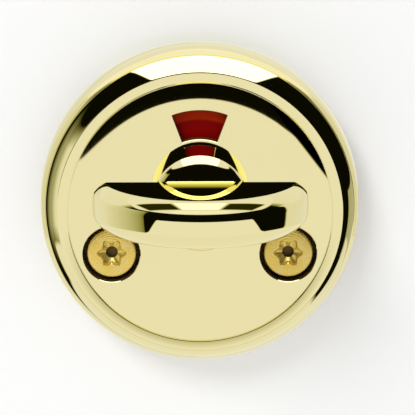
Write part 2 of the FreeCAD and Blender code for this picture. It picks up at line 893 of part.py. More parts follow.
def make_indicator_disc():
    """Carries the colour fields. Its slot lets the stop pin pass through the quarter turn and no further."""
    low = disc_back()
    high = disc_top()
    reach = stop_reach()
    slot = half("stop_diameter") + size("stop_clearance")
    start = size("stop_angle")
    turn = size("turn_angle")
    slot_end = start + turn
    openings = [
        wide_shaft("disc_drive", size("drive_clearance"), low - 1, high + 1),
        sector("disc_slot", reach - slot, reach + slot, start, turn, low - 1, high + 1),
    ]
    for number, angle in enumerate((start, slot_end), start=1):
        openings.append(
            cylinder(
                f"disc_slot_end_{number}",
                slot,
                low - 1,
                high + 1,
                reach * cosine(angle),
                reach * sine(angle),
            )
        )
    openings.extend(boss_ways("disc", low - 1, high + 1))
    sweep = size("turn_angle") + size("field_angle") + size("flag_spare") * 2
    flag_start = as_size(90) - half("field_angle") - size("flag_spare")
    blank = fuse(
        "disc_blank",
        cylinder("disc_round", boss_reach() - boss_radius() - size("disc_clearance"), low, high),
        sector(
            "disc_flag",
            half("shaft_diameter") + 1,
            half("flag_diameter"),
            flag_start,
            sweep,
            low,
            high,
        ),
    )
    piece(cut("indicator_disc", blank, *openings))


def make_field(name, middle):
    """A colour sector on the disc's front, its middle at an angle from X."""
    low = disc_top()
    high = low + size("field_thickness")
    blank = sector(
        f"{name}_blank",
        half("bush_flange_diameter") + size("field_gap"),
        half("flag_diameter") - size("field_margin"),
        as_size(middle) - half("field_angle"),
        size("field_angle"),
        low,
        high,
    )
    piece(cut(name, blank, *boss_ways(name, low - 1, high + 1)))


def notch(name, turn):
    """The cutter of one detent notch, below the axis and then turned about it."""
    rim = half("cam_diameter")
    beyond = rim + size("notch_depth")
    floor = rim - size("notch_depth")
    tip = half("nose_tip") + size("nose_clearance")
    mouth = size("notch_width") - tip
    body = new_body(name)
    sketch = new_sketch(body, f"{name}_plan", "XY_Plane", rim_back() - 1)
    outline(
        sketch, [(-tip, -floor), (-mouth, -beyond), (mouth, -beyond), (tip, -floor)]
    )
    pad(body, f"{name}_pad", sketch, size("cam_thickness") + 2)
    body.Placement.Rotation = FreeCAD.Rotation(FreeCAD.Vector(0, 0, 1), 1)
    bind(body, "Placement.Rotation.Angle", turn)
    return body


def make_detent_cam():
    """Its notches stand under the spring's nose at each end of the quarter turn."""
    blank = fuse(
        "cam_blank",
        cylinder("cam_rim", half("cam_diameter"), rim_back(), disc_back()),
        cylinder("cam_collar", half("cam_collar_diameter"), cam_back(), disc_back()),
    )
    spare = size("drive_clearance")
    drive_hole = wide_shaft("cam_drive", spare, cam_back() - 1, disc_back() + 1)
    locked = notch("locked_notch", 0)
    free = notch("free_notch", size("turn_angle"))
    piece(cut("detent_cam", blank, drive_hole, locked, free))


def make_detent_spring():
    """A leaf over two posts, its nose in the cam's notch and its ends turned down behind the posts."""
    body = new_body("detent_spring")
    middle = (rim_back() + disc_back()) / 2
    sketch = new_sketch(body, "spring_plan", "XY_Plane", middle - half("leaf_height"))
    top = leaf_top()
    thick = size("leaf_thickness")
    under = top - thick
    end = half("leaf_span")
    foot = under - size("leaf_foot")
    root = half("nose_width")
    tip = half("nose_tip")
    nose = -(half("cam_diameter") - size("notch_depth") + size("nose_clearance"))
    right = [
        (tip, nose),
        (root, top),
        (end, top),
        (end, foot),
        (end - thick, foot),
        (end - thick, under),
        (root - thick, under),
        (tip - thick / 2, nose - thick),
    ]
    left = [(-x, y) for x, y in reversed(right)]
    outline(sketch, right + left)
    pad(body, "spring_pad", sketch, size("leaf_height"))
    piece(body)


def make_washers():
    inner = half("shaft_diameter") + size("washer_clearance")
    outer = half("washer_diameter")
    thick = size("washer_thickness")
    body = new_body("spring_washer")
    sketch = new_sketch(body, "spring_washer_profile", "XZ_Plane")
    high = cam_back()
    low = spring_back()
    outline(
        sketch,
        [(inner, low), (outer, high - thick), (outer, high), (inner, low + thick)],
    )
    revolve(body, "spring_washer_turning", sketch)
    piece(body)
    blank = cylinder("thrust_washer_blank", outer, ring_top(), low)
    hole = cylinder("thrust_washer_hole", inner, ring_top() - 1, low + 1)
    piece(cut("thrust_washer", blank, hole))


def make_retaining_ring():
    """Open ring in the shaft's groove, with an eye in the lug on each side of its opening."""
    high = ring_top()
    low = high - size("ring_thickness")
    inner = groove_radius() + size("groove_clearance")
    outer = inner + size("ring_width")
    lug = size("ring_lug_radius")
    eye = size("ring_eye_radius")
    x = half("ring_gap") + lug
    y = -outer
    places = [(-x, y), (x, y)]
    lugs = [
        cylinder(f"ring_lug_{number}", lug, low, high, *place)
        for number, place in enumerate(places, start=1)
    ]
    eyes = [
        cylinder(f"ring_eye_{number}", eye, low - 1, high + 1, *place)
        for number, place in enumerate(places, start=1)
    ]
    blank = fuse("ring_blank", cylinder("ring_round", outer, low, high), *lugs)
    gap = block("ring_opening", size("ring_gap"), outer * 2, low - 1, high + 1, 0, -outer)
    bore = cylinder("ring_bore", inner, low - 1, high + 1)
    piece(cut("retaining_ring", blank, bore, gap, *eyes))


def write_pieces():
    """Checks every object and writes each piece under its own name."""
    doc.recompute()
    for obj in doc.Objects:
        if "Invalid" in obj.State or "Error" in obj.State:
            raise RuntimeError(f"{obj.Label}: {obj.State}")
    os.makedirs("parts", exist_ok=True)
    for obj in pieces:
        shape = obj.Shape
        if shape.isNull() or not shape.isValid():
            raise RuntimeError(f"{obj.Label}: bad shape")
        shape.exportStep(f"parts/{obj.Label}.step")
        print(f"{obj.Label}: {len(shape.Solids)} solid, {shape.Volume:.1f} mm3")


write_sheet()
make_rose()
make_thumb_turn()
make_spindle()
make_set_screw()
for side, where in zip(("left", "right"), screw_places()):
    make_fixing_screw(f"fixing_screw_{side}", where)
make_front_bush()
make_rear_bush()
make_back_plate()
for count, where in enumerate(plate_screw_places(), start=1):
    make_plate_screw(f"plate_screw_{count}", where)
make_stop_pin()
make_indicator_disc()
make_field("occupied_field", 90)
make_field("vacant_field", as_size(90) + size("turn_angle"))
make_detent_cam()
make_detent_spring()
make_washers()
make_retaining_ring()
write_pieces()
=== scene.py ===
import json
import math

import bmesh
import bpy
from bpy.props import FloatProperty, FloatVectorProperty, PointerProperty
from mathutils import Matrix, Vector
from mathutils.geometry import delaunay_2d_cdt


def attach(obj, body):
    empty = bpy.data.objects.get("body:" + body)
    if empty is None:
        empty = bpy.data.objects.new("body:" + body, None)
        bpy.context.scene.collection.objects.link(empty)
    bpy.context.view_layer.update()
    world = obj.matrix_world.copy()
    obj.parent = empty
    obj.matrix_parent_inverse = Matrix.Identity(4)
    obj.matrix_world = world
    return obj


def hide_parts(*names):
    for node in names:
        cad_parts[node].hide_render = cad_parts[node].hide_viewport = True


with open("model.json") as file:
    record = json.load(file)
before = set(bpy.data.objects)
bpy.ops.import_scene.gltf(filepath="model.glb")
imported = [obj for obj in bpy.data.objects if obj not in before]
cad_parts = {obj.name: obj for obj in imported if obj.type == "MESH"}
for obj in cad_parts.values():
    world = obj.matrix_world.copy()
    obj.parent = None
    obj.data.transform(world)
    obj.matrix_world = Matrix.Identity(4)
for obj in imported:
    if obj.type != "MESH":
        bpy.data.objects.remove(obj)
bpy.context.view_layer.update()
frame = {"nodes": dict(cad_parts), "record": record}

bl_info = {
    "name": "Bathroom thumb turn lock",
    "version": (1, 0, 0),
    "blender": (4, 5, 0),
    "location": "View3D > Sidebar > Thumb Turn",
    "description": "Polished rose, half-moon thumb turn, screws, colour window and stage",
    "category": "Object",
}

MM = 0.001
HALF_TURN = math.pi
FULL_TURN = math.tau
# Points round a turned surface, round a hole of the rose and round a fixing screw.
ROUND_STEPS = 192
HOLE_STEPS = 96
SCREW_STEPS = 144
# Edges sharper than this, in degrees, stay sharp; the knob keeps finer ones.
SHARP_ANGLE = 32.0
KNOB_SHARP_ANGLE = 20.0


def length(name, millimetres, note):
    """A size in millimetres, kept in metres as Blender does."""
    return FloatProperty(name=name, description=note, default=millimetres * MM, unit="LENGTH", precision=5)


def angle(name, degrees, note):
    return FloatProperty(name=name, description=note, default=math.radians(degrees), unit="ROTATION")


def share(name, value, note):
    return FloatProperty(name=name, description=note, default=value)


def colour(name, rgb, note):
    return FloatVectorProperty(
        name=name, description=note, default=rgb, size=3, subtype="COLOR", min=0.0, max=1.0
    )


class RoseSizes(bpy.types.PropertyGroup):
    """The turned rose, its window and the counterbores of its screws."""

    foot_radius: length("Foot radius", 27.5, "Rose at the door")
    height: length("Height", 11.2, "Door to the flat face")
    axis_rise: length("Axis rise", 4.4, "Turn axis above the rose's centre")
    side_height: length("Side height", 6.2, "Side wall")
    side_draft: length("Side draft", 0.4, "Taper of the side wall on radius")
    shoulder_width: length("Shoulder width", 0.7, "Small round at the top of the side wall, radial")
    shoulder_rise: length("Shoulder rise", 0.7, "Small round at the top of the side wall, height")
    shoulder_radius: length("Shoulder radius", 1.45, "Small round at the top of the side wall")
    crest_radius: length("Crest radius", 24.15, "Crest of the rim")
    bulge_radius: length("Bulge radius", 6.1, "Convex rim between shoulder and crest")
    face_radius: length("Face radius", 22.3, "Flat face")
    band_fall: length("Band fall", 0.06, "Fall of the band between crest and groove")
    groove_width: length("Groove width", 0.22, "Groove between band and flat face, radial")
    groove_wall: length("Groove wall", 0.08, "Radial run of the groove's inner wall")
    groove_depth: length("Groove depth", 0.16, "Groove between band and flat face")
    face_roll: length("Face roll", 3.1, "Radial run of the flat face's rolled edge")
    face_fall: length("Face fall", 0.1, "Drop of the flat face's rolled edge")
    face_wall: length("Face wall", 2.0, "Wall behind the flat face")
    rim_wall: length("Rim wall", 2.6, "Wall of the rim at the back")
    crown_wall: length("Crown wall", 0.6, "Cavity's top edge inside the face's edge")
    ledge_width: length("Ledge width", 0.8, "Ledge that the back plate rests on")
    ledge_height: length("Ledge height", 1.7, "Top of the back plate")
    edge: length("Edge", 0.1, "Chamfer on the edges of window and counterbores")
    window_inner: length("Window inner radius", 8.35, "Window, from the turn axis")
    window_outer: length("Window outer radius", 13.25, "Window, from the turn axis")
    window_angle: angle("Window angle", 41.0, "Window's sector")
    shaft_hole: length("Shaft hole radius", 6.05, "Hole of the front bush")
    counterbore: length("Counterbore radius", 4.85, "Counterbore of a fixing screw")
    counterbore_depth: length("Counterbore depth", 4.2, "Face to the screw's seat")
    boss: length("Boss radius", 6.45, "Boss round a fixing screw")
    screw_way: length("Screw way radius", 2.75, "Hole of a fixing screw")


class TurnSizes(bpy.types.PropertyGroup):
    """The hub, the half-moon wing and the shaft."""

    hub_radius: length("Hub radius", 8.0, "Hub")
    hub_back: length("Hub back", 11.4, "Hub's back above the door")
    hub_front: length("Hub front", 24.0, "Hub's end above the door")
    hub_edge: length("Hub edge", 1.3, "Rounded chamfer on the hub's front edge")
    hub_edge_radius: length("Hub edge radius", 2.7, "Convex face of that chamfer")
    shaft_radius: length("Shaft radius", 5.0, "Shaft")
    shaft_end: length("Shaft end", 0.2, "Shaft's end above the door")
    wing_radius: length("Wing radius", 17.75, "Wing's rim")
    wing_setback: length("Wing setback", 1.65, "Centre of the wing's arc behind its straight edge")
    wing_half: length("Wing half thickness", 3.87, "Half of the wing's thickness")
    bevel_width: length("Bevel width", 2.35, "Bevel between flat and rim, radial")
    bevel_height: length("Bevel height", 1.7, "Bevel between flat and rim, height")
    bevel_radius: length("Bevel radius", 5.0, "Convex bevel")
    brow_width: length("Brow width", 0.3, "Small round between bevel and rim, radial")
    brow_height: length("Brow height", 1.15, "Small round between bevel and rim, height")
    brow_radius: length("Brow radius", 3.0, "Small round between bevel and rim")
    cheek_radius: length("Cheek radius", 22.0, "Slight bulge of the rim between its brows")
    root_fillet: length("Root fillet", 0.22, "Hollow where the hub's end meets the wing's flats")
    set_screw_height: length("Set screw height", 17.0, "Set screw above the door")
    set_screw_hole: length("Set screw hole radius", 2.05, "Tapped hole under the hub")


class ScrewSizes(bpy.types.PropertyGroup):
    """The two fixing screws."""

    spacing: length("Spacing", 30.0, "Centre to centre")
    drop: length("Drop", 11.5, "Below the turn axis")
    seat: length("Seat", 7.0, "Underside of the head above the door")
    head_radius: length("Head radius", 4.15, "Cheese head")
    head_height: length("Head height", 3.65, "Cheese head")
    head_edge: length("Head edge", 0.3, "Chamfer round the head")
    neck_radius: length("Neck radius", 2.2, "Plain neck")
    neck_end: length("Neck end", 1.0, "End of the neck behind the door's face")
    core_radius: length("Core radius", 2.1, "Root of the thread")
    thread_radius: length("Thread radius", 2.5, "Crest of the thread")
    pitch: length("Pitch", 0.8, "Thread")
    under_head: length("Length", 45.0, "Under the head")
    tip: length("Tip", 0.8, "Chamfer on the end")
    recess_radius: length("Recess radius", 2.25, "Six-lobe recess over its lobes")
    recess_waist: length("Recess waist", 1.62, "Six-lobe recess between its lobes")
    recess_step: length("Recess step", 0.75, "Depth of the recess at the foot of its lobes")
    recess_depth: length("Recess depth", 2.2, "Six-lobe recess")


class FinishColours(bpy.types.PropertyGroup):
    """Colours of the finishes."""

    brass: colour("Brass", (0.83, 0.75, 0.41), "Polished and lacquered pale brass")
    # The bored brass colour is dull unpolished brass, made darker with painted shade of the holes.
    bore: colour("Bored brass", (0.20, 0.13, 0.045), "Walls of holes that polishing doesn't reach")
    plating: colour("Yellow plating", (0.84, 0.60, 0.13), "Yellow-passivated screws")
    pale_plating: colour("Pale plating", (0.874, 0.722, 0.285), "Yellow plating in its dull patches")
    recess: colour("Recess", (0.80, 0.60, 0.14), "Pressed recess of the fixing screws")
    zinc: colour("Zinc", (0.62, 0.63, 0.64), "Zinc-plated steel")
    bright_zinc: colour("Bright zinc", (0.86, 0.87, 0.90), "Screws of the back plate")
    spring: colour("Spring steel", (0.40, 0.40, 0.41), "Springs and ring")
    dark: colour("Dark steel", (0.14, 0.14, 0.15), "Oiled black steel")
    nylon: colour("Nylon", (0.78, 0.76, 0.68), "Natural nylon")
    occupied: colour("Occupied", (0.28, 0.001, 0.0005), "Red field")
    # This colour is a painted sheen: a lighter red over the field's outer part that stands in for a
    # reflection.
    occupied_painted_sheen: colour("Occupied sheen", (0.60, 0.03, 0.001), "Red field, its outer part")
    vacant: colour("Vacant white", (0.84, 0.84, 0.81), "Free colour field")


class StageSizes(bpy.types.PropertyGroup):
    """Camera, backdrop, floor and lights."""

    camera_elevation: angle("Camera elevation", 13.2, "Above the turn axis")
    camera_azimuth: angle("Camera azimuth", 0.6, "Left of the turn axis")
    camera_distance: length("Camera distance", 400.0, "From the door's face")
    lens: share("Lens", 199.7, "Focal length in millimetres on a 36 mm sensor")
    aim_right: length("Aim right", 1.38, "Middle of the picture, right of the turn axis")
    aim_down: length("Aim down", 6.0, "Middle of the picture, below the turn axis")
    floor_drop: length("Floor drop", 90.0, "Floor below the turn axis")
    fill: share("Fill", 0.63, "Even light from all round")
    key_power: share("Key light", 3.95, "Soft light from the upper left, in watts")
    glow: share("Glow", 0.1, "Share of plain white in the backdrop's paper")
    dome_radius: length("Dome radius", 2500.0, "Dome of reflected light panels")


class Finish:
    """Nodes of one material or node group, added by kind and linked by socket name."""

    def __init__(self, tree):
        self.tree = tree

    def add(self, kind, inputs=None, **settings):
        node = self.tree.nodes.new(kind)
        for key, value in settings.items():
            setattr(node, key, value)
        for key, value in (inputs or {}).items():
            self.feed(value, node.inputs[key])
        return node

    def feed(self, value, socket):
        if isinstance(value, bpy.types.NodeSocket):
            self.tree.links.new(value, socket)
        else:
            socket.default_value = value

    def maths(self, operation, first, second=0.0, third=0.0, clamp=False):
        node = self.add("ShaderNodeMath", operation=operation, use_clamp=clamp)
        for value, socket in zip((first, second, third), node.inputs):
            self.feed(value, socket)
        return node.outputs[0]

    def mix(self, part, first, second):
        node = self.add("ShaderNodeMix", data_type="RGBA")
        for value, name in ((part, "Factor_Float"), (first, "A_Color"), (second, "B_Color")):
            socket = next(s for s in node.inputs if s.identifier == name)
            if not isinstance(value, bpy.types.NodeSocket) and name != "Factor_Float":
                value = (*value[:3], 1.0)
            self.feed(value, socket)
        return next(s for s in node.outputs if s.identifier == "Result_Color")

    def times(self, product, *factors):
        for factor in factors:
            product = self.maths("MULTIPLY", product, factor)
        return product

    def rest(self, part):
        """What a part leaves of 1."""
        return self.maths("SUBTRACT", 1.0, part)

    def ramp(self, value, start, width):
        """0 up to a start, 1 from a width beyond it."""
        return self.maths("DIVIDE", self.maths("SUBTRACT", value, start), width, clamp=True)

    def coordinates(self):
        return self.add("ShaderNodeTexCoord").outputs["Object"]

    def split(self, vector):
        return self.add("ShaderNodeSeparateXYZ", {0: vector}).outputs

    def reach(self, x, z):
        """How far a point of a plane lies from the plane's origin."""
        flat = self.add("ShaderNodeCombineXYZ", {0: x, 1: z}).outputs[0]
        return self.add("ShaderNodeVectorMath", {0: flat}, operation="LENGTH").outputs["Value"]


def new_group(name, inputs, outputs):
    """An empty shader group with named sockets, its Finish, and its input and output nodes."""
    tree = bpy.data.node_groups.new(name, "ShaderNodeTree")
    for socket, kind, default in inputs:
        made = tree.interface.new_socket(name=socket, in_out="INPUT", socket_type=kind)
        if default is not None:
            made.default_value = default
    for socket, kind in outputs:
        tree.interface.new_socket(name=socket, in_out="OUTPUT", socket_type=kind)
    finish = Finish(tree)
    return finish, finish.add("NodeGroupInput").outputs, finish.add("NodeGroupOutput").inputs


def hairline_group():
    """Fine straight lines left by brushing or buffing: a mask and a height."""
    name = "buffing_lines"
    if name in bpy.data.node_groups:
        return bpy.data.node_groups[name]
    finish, given, out = new_group(
        name,
        [
            ("Vector", "NodeSocketVector", None),
            ("Stretch", "NodeSocketVector", (60.0, 400.0, 6000.0)),
            ("Contrast", "NodeSocketFloat", 1.0),
        ],
        [("Mask", "NodeSocketFloat"), ("Height", "NodeSocketFloat")],
    )
    scaled = finish.add(
        "ShaderNodeVectorMath", {0: given["Vector"], 1: given["Stretch"]}, operation="MULTIPLY"
    )
    noise = finish.add(
        "ShaderNodeTexNoise", {"Vector": scaled.outputs[0], "Scale": 1.0, "Detail": 3.0, "Roughness": 0.6}
    )
    centred = finish.maths("SUBTRACT", noise.outputs["Fac"], 0.5)
    strong = finish.maths("MULTIPLY", centred, given["Contrast"])
    finish.feed(finish.maths("ADD", strong, 0.5, clamp=True), out["Mask"])
    finish.feed(noise.outputs["Fac"], out["Height"])
    return finish.tree


def smudge_group():
    """Broad soft patches where hands and cloth have dulled a surface."""
    name = "handling_smudges"
    if name in bpy.data.node_groups:
        return bpy.data.node_groups[name]
    finish, given, out = new_group(
        name,
        [
            ("Vector", "NodeSocketVector", None),
            ("Scale", "NodeSocketFloat", 120.0),
            ("Cover", "NodeSocketFloat", 0.5),
        ],
        [("Mask", "NodeSocketFloat")],
    )
    noise = finish.add(
        "ShaderNodeTexNoise",
        {
            "Vector": given["Vector"],
            "Scale": given["Scale"],
            "Detail": 4.0,
            "Roughness": 0.55,
            "Distortion": 0.4,
        },
    )
    low = finish.maths("SUBTRACT", 1.0, given["Cover"])
    above = finish.maths("SUBTRACT", noise.outputs["Fac"], low)
    finish.feed(finish.maths("MULTIPLY", above, 3.0, clamp=True), out["Mask"])
    return finish.tree


def ring_group():
    """Turning marks: rings of one pitch about an axis, from a distance to it."""
    name = "turning_rings"
    if name in bpy.data.node_groups:
        return bpy.data.node_groups[name]
    finish, given, out = new_group(
        name,
        [
            ("Radius", "NodeSocketFloat", 0.0),
            ("Pitch", "NodeSocketFloat", 0.00022),
            ("Vector", "NodeSocketVector", None),
        ],
        [("Height", "NodeSocketFloat")],
    )
    turns = finish.maths("DIVIDE", given["Radius"], given["Pitch"])
    noise = finish.add("ShaderNodeTexNoise", {"Vector": given["Vector"], "Scale": 700.0, "Detail": 2.0})
    shifted = finish.maths("MULTIPLY_ADD", noise.outputs["Fac"], 0.8, turns)
    wave = finish.maths("SINE", finish.maths("MULTIPLY", shifted, FULL_TURN))
    finish.feed(finish.maths("MULTIPLY_ADD", wave, 0.5, 0.5), out["Height"])
    return finish.tree


def start_material(name, slot_colour):
    """A node material with an empty Principled surface, its Finish and its shader."""
    material = bpy.data.materials.new(name)
    material.use_nodes = True
    material.diffuse_color = (*slot_colour, 1.0)
    finish = Finish(material.node_tree)
    shader = material.node_tree.nodes["Principled BSDF"]
    return material, finish, shader


def empty_material(name):
    """A node material without nodes, and its Finish."""
    material = bpy.data.materials.new(name)
    material.use_nodes = True
    material.node_tree.nodes.clear()
    return material, Finish(material.node_tree)


def group_node(finish, tree, inputs):
    return finish.add("ShaderNodeGroup", inputs, node_tree=tree)


def smudges(finish, where, scale, cover):
    """Where a surface is dulled: patches of a scale that cover a share of it."""
    values = {"Vector": where, "Scale": scale, "Cover": cover}
    return group_node(finish, smudge_group(), values).outputs["Mask"]


def hairlines(finish, where, stretch, contrast=1.0):
    """Mask and height of brushed or buffed lines."""
    values = {"Vector": where, "Stretch": stretch, "Contrast": contrast}
    return group_node(finish, hairline_group(), values).outputs


def grain(finish, where, scale, detail):
    """The height of a fine grain."""
    values = {"Vector": where, "Scale": scale, "Detail": detail}
    return finish.add("ShaderNodeTexNoise", values).outputs["Fac"]


def bump(finish, shader, height, strength, distance):
    node = finish.add("ShaderNodeBump", {"Height": height, "Strength": strength, "Distance": distance})
    finish.feed(node.outputs["Normal"], shader.inputs["Normal"])


def set_surface(finish, shader, tint, metal, roughness):
    for name, value in (("Base Color", tint), ("Metallic", metal), ("Roughness", roughness)):
        finish.feed(value, shader.inputs[name])


def finish_colour(tone):
    """One of the finishes' colours, as plain numbers."""
    return tuple(getattr(bpy.context.scene.lock_colours, tone))


def shaded(rgb, factor):
    return tuple(channel * factor for channel in rgb)


def start_brass(name):
    """Mirror-bright brass, a little duller in smudges and along faint buffing lines, and its smudges."""
    base = finish_colour("brass")
    material, finish, shader = start_material(name, base)
    where = finish.coordinates()
    smudge = smudges(finish, where, 90.0, 0.48)
    lines = hairlines(finish, where, (900.0, 900.0, 14000.0))["Mask"]
    buffed = finish.mix(lines, base, shaded(base, 0.985))
    set_surface(finish, shader, finish.mix(smudge, buffed, shaded(base, 0.97)), 1.0, 0.0)
    return material, finish, shader, smudge


def polished_brass(name):
    """The rose's brass, polished and lacquered: its mirror is a little soft, and softer in smudges."""
    material, finish, shader, smudge = start_brass(name)
    finish.feed(finish.maths("MULTIPLY_ADD", smudge, 0.01, 0.03), shader.inputs["Roughness"])
    return material


def bright_brass(name):
    """The rose's shoulder, side and groove: the same brass as a clean mirror, so that they see light panels
    of their own, which paint them lighter than the rest of the rim.
    """
    return start_brass(name)[0]


def pass_soft(finish, shader):
    """Lets soft reflections by, so that the rose stays plain behind the knob."""
    ray = finish.add("ShaderNodeLightPath").outputs
    soft = finish.times(ray["Is Glossy Ray"], finish.rest(ray["Is Singular Ray"]))
    clear = finish.add("ShaderNodeBsdfTransparent")
    mixed = finish.add("ShaderNodeMixShader", {0: soft, 1: shader.outputs[0], 2: clear.outputs[0]})
    finish.feed(mixed.outputs[0], finish.tree.nodes["Material Output"].inputs["Surface"])


def mirror_brass(name):
    """The knob's brass, a clean mirror that the rose doesn't show."""
    material, finish, shader, _ = start_brass(name)
    pass_soft(finish, shader)
    return material


def bored_brass(name):
    """Drilled and cast brass that polishing doesn't reach, dull and streaked; its dark colour is painted
    shade of the holes and recess wells.
    """
    base = finish_colour("bore")
    material, finish, shader = start_material(name, base)
    lines = hairlines(finish, finish.coordinates(), (700.0, 5000.0, 700.0))["Mask"]
    tint = finish.mix(lines, shaded(base, 0.85), base)
    set_surface(finish, shader, tint, 0.6, finish.maths("MULTIPLY_ADD", lines, 0.2, 0.45))
    return material


def yellow_plating(name):
    """Satin yellow-passivated steel with turning rings about each screw's axis."""
    base = finish_colour("plating")
    sizes = bpy.context.scene.lock_screws
    material, finish, shader = start_material(name, base)
    where = finish.coordinates()
    split = finish.split(where)
    side = finish.maths("SUBTRACT", finish.maths("ABSOLUTE", split["X"]), sizes.spacing / 2)
    rise = finish.maths("ADD", split["Z"], sizes.drop)
    values = {"Radius": finish.reach(side, rise), "Pitch": 0.42 * MM, "Vector": where}
    rings = group_node(finish, ring_group(), values).outputs["Height"]
    smudge = smudges(finish, where, 420.0, 0.5)
    tint = finish.mix(smudge, base, finish_colour("pale_plating"))
    set_surface(finish, shader, tint, 0.55, finish.maths("MULTIPLY_ADD", smudge, 0.08, 0.26))
    bump(finish, shader, rings, 0.2, 0.04 * MM)
    return material


def recess_plating(name):
    """The pressed recess of a screw: brighter and smoother than its turned head."""
    base = finish_colour("recess")
    material, finish, shader = start_material(name, base)
    smudge = smudges(finish, finish.coordinates(), 900.0, 0.5)
    tint = finish.mix(smudge, base, shaded(base, 0.88))
    set_surface(finish, shader, tint, 0.6, finish.maths("MULTIPLY_ADD", smudge, 0.1, 0.2))
    return material


def plated_steel(name, tone, roughness, stretch, in_knob):
    """Satin steel with drawn or rolled lines and dull patches."""
    base = finish_colour(tone)
    material, finish, shader = start_material(name, base)
    where = finish.coordinates()
    lines = hairlines(finish, where, stretch, 1.6)
    smudge = smudges(finish, where, 260.0, 0.5)
    lit = finish.mix(lines["Mask"], shaded(base, 0.86), base)
    tint = finish.mix(smudge, lit, shaded(base, 0.78))
    set_surface(finish, shader, tint, 1.0, finish.maths("MULTIPLY_ADD", smudge, 0.1, roughness))
    bump(finish, shader, lines["Height"], 0.15, 0.03 * MM)
    if in_knob:
        pass_soft(finish, shader)
    return material


def nylon(name):
    """Moulded nylon: a soft sheen, faint mottling and a fine moulded grain."""
    base = finish_colour("nylon")
    material, finish, shader = start_material(name, base)
    where = finish.coordinates()
    smudge = smudges(finish, where, 300.0, 0.55)
    tint = finish.mix(smudge, base, shaded(base, 0.88))
    set_surface(finish, shader, tint, 0.0, finish.maths("MULTIPLY_ADD", smudge, 0.1, 0.42))
    bump(finish, shader, grain(finish, where, 5200.0, 2.0), 0.2, 0.03 * MM)
    return material


# Reflection rays longer than this see the colour field painted black: the hub, near, mirrors the window's
# colour, and the wing's flat shows none of it.
REFLECTION_BLACK_BEYOND = 20.0 * MM
# Where the painted sheen of a colour field begins, from the turn axis, and over what it fades in.
PAINTED_SHEEN_FROM = 11.0 * MM
PAINTED_SHEEN_FADE = 0.5 * MM
BLACK = (0.0, 0.0, 0.0)


def colour_field(name, tone, painted_sheen_tone):
    """Gloss-painted colour field with faint orange peel and dust, a painted sheen of lighter colour over its
    outer part, and painted black for reflection rays from further off.
    """
    base = finish_colour(tone)
    material, finish, shader = start_material(name, base)
    where = finish.coordinates()
    smudge = smudges(finish, where, 500.0, 0.45)
    ray = finish.add("ShaderNodeLightPath").outputs
    # Reflection rays from further off see the field painted black: a painted-out reflection.
    far = finish.maths("GREATER_THAN", ray["Ray Length"], REFLECTION_BLACK_BEYOND)
    painted_black_in_reflection = finish.times(ray["Is Glossy Ray"], far)
    split = finish.split(where)
    # The field's outer part gets the painted sheen.
    outer = finish.ramp(finish.reach(split["X"], split["Z"]), PAINTED_SHEEN_FROM, PAINTED_SHEEN_FADE)
    coat_with_painted_sheen = finish.mix(outer, base, finish_colour(painted_sheen_tone))
    paint = finish.mix(finish.times(smudge, 0.2), coat_with_painted_sheen, BLACK)
    tint = finish.mix(painted_black_in_reflection, paint, BLACK)
    set_surface(finish, shader, tint, 0.0, finish.maths("MULTIPLY_ADD", smudge, 0.12, 0.3))
    shader.inputs["Specular IOR Level"].default_value = 0.04
    bump(finish, shader, grain(finish, where, 1500.0, 1.0), 0.08, 0.03 * MM)
    return material


FINISHES = {
    "polished_brass": polished_brass,
    "mirror_brass": mirror_brass,
    "bright_brass": bright_brass,
    "bored_brass": bored_brass,
    "yellow_plated_steel": yellow_plating,
    "recess_plating": recess_plating,
    "nylon": nylon,
}
# Steels: colour, roughness, stretch of the lines, and whether the piece sits in the knob.
STEELS = {
    "zinc_plated_steel": ("zinc", 0.3, (500.0, 300.0, 5000.0), False),
    "bright_zinc": ("bright_zinc", 0.22, (900.0, 900.0, 900.0), False),
    "spindle_steel": ("zinc", 0.3, (5000.0, 300.0, 5000.0), True),
    "set_screw_steel": ("dark", 0.38, (900.0, 900.0, 900.0), True),
    "spring_steel": ("spring", 0.26, (4000.0, 600.0, 600.0), False),
    "dark_steel": ("dark", 0.38, (900.0, 900.0, 900.0), False),
}
# Colour fields: colour, and colour of the painted sheen on the outer part.
FIELDS = {
    "red_field": ("occupied", "occupied_painted_sheen"),
    "white_field": ("vacant", "vacant"),
}


def finish_of(kind):
    """The material of a finish, made on first use and shared afterwards."""
    name = f"{kind}_finish"
    if name in bpy.data.materials:
        return bpy.data.materials[name]
    if kind in STEELS:
        return plated_steel(name, *STEELS[kind])
    if kind in FIELDS:
        return colour_field(name, *FIELDS[kind])
    return FINISHES[kind](name)


def arc_path(start, end, radius, steps):
    """Points of an arc between two profile points, bulging away from the left of the way."""
    first, last = Vector(start), Vector(end)
    chord = last - first
    rise = math.sqrt(radius * radius - chord.length_squared / 4)
    left = Vector((-chord.y, chord.x)).normalized()
    centre = (first + last) / 2 + left * rise
    begin = math.atan2(first.y - centre.y, first.x - centre.x)
    sweep = 2 * math.asin(chord.length / 2 / radius)
    return [
        (
            centre.x + radius * math.cos(begin + sweep * step / steps),
            centre.y + radius * math.sin(begin + sweep * step / steps),
        )
        for step in range(steps + 1)
    ]


def soften(path, corner, reach, steps=4):
    """The path with the corner at a given point rounded off over a short reach each way."""
    points = [Vector(p) for p in path]
    tip = Vector(corner)
    middle = min(range(len(points)), key=lambda i: (points[i] - tip).length)

    def walk(step):
        left = reach
        here = middle
        while True:
            after = here + step
            run = (points[after] - points[here]).length
            if run >= left:
                return points[here].lerp(points[after], left / run), after
            left -= run
            here = after

    begin, before = walk(-1)
    end, behind = walk(1)
    curve = []
    for step in range(steps + 1):
        t = step / steps
        curve.append(begin * (1 - t) ** 2 + tip * 2 * t * (1 - t) + end * t * t)
    return [tuple(p) for p in points[: before + 1] + curve + points[behind:]]


def stand(x, z, height):
    """A point given across the door, up the door and out of it, in the row's frame."""
    return (x, -height, z)


# Material places of a piece: its outside; the walls of its holes, dark with painted shade; and a third place,
# the rose's edges that their own light panels paint lighter, or a screw's recess.
OUTSIDE, SHADED_BORE, LIT_EDGE_OR_RECESS = 0, 1, 2


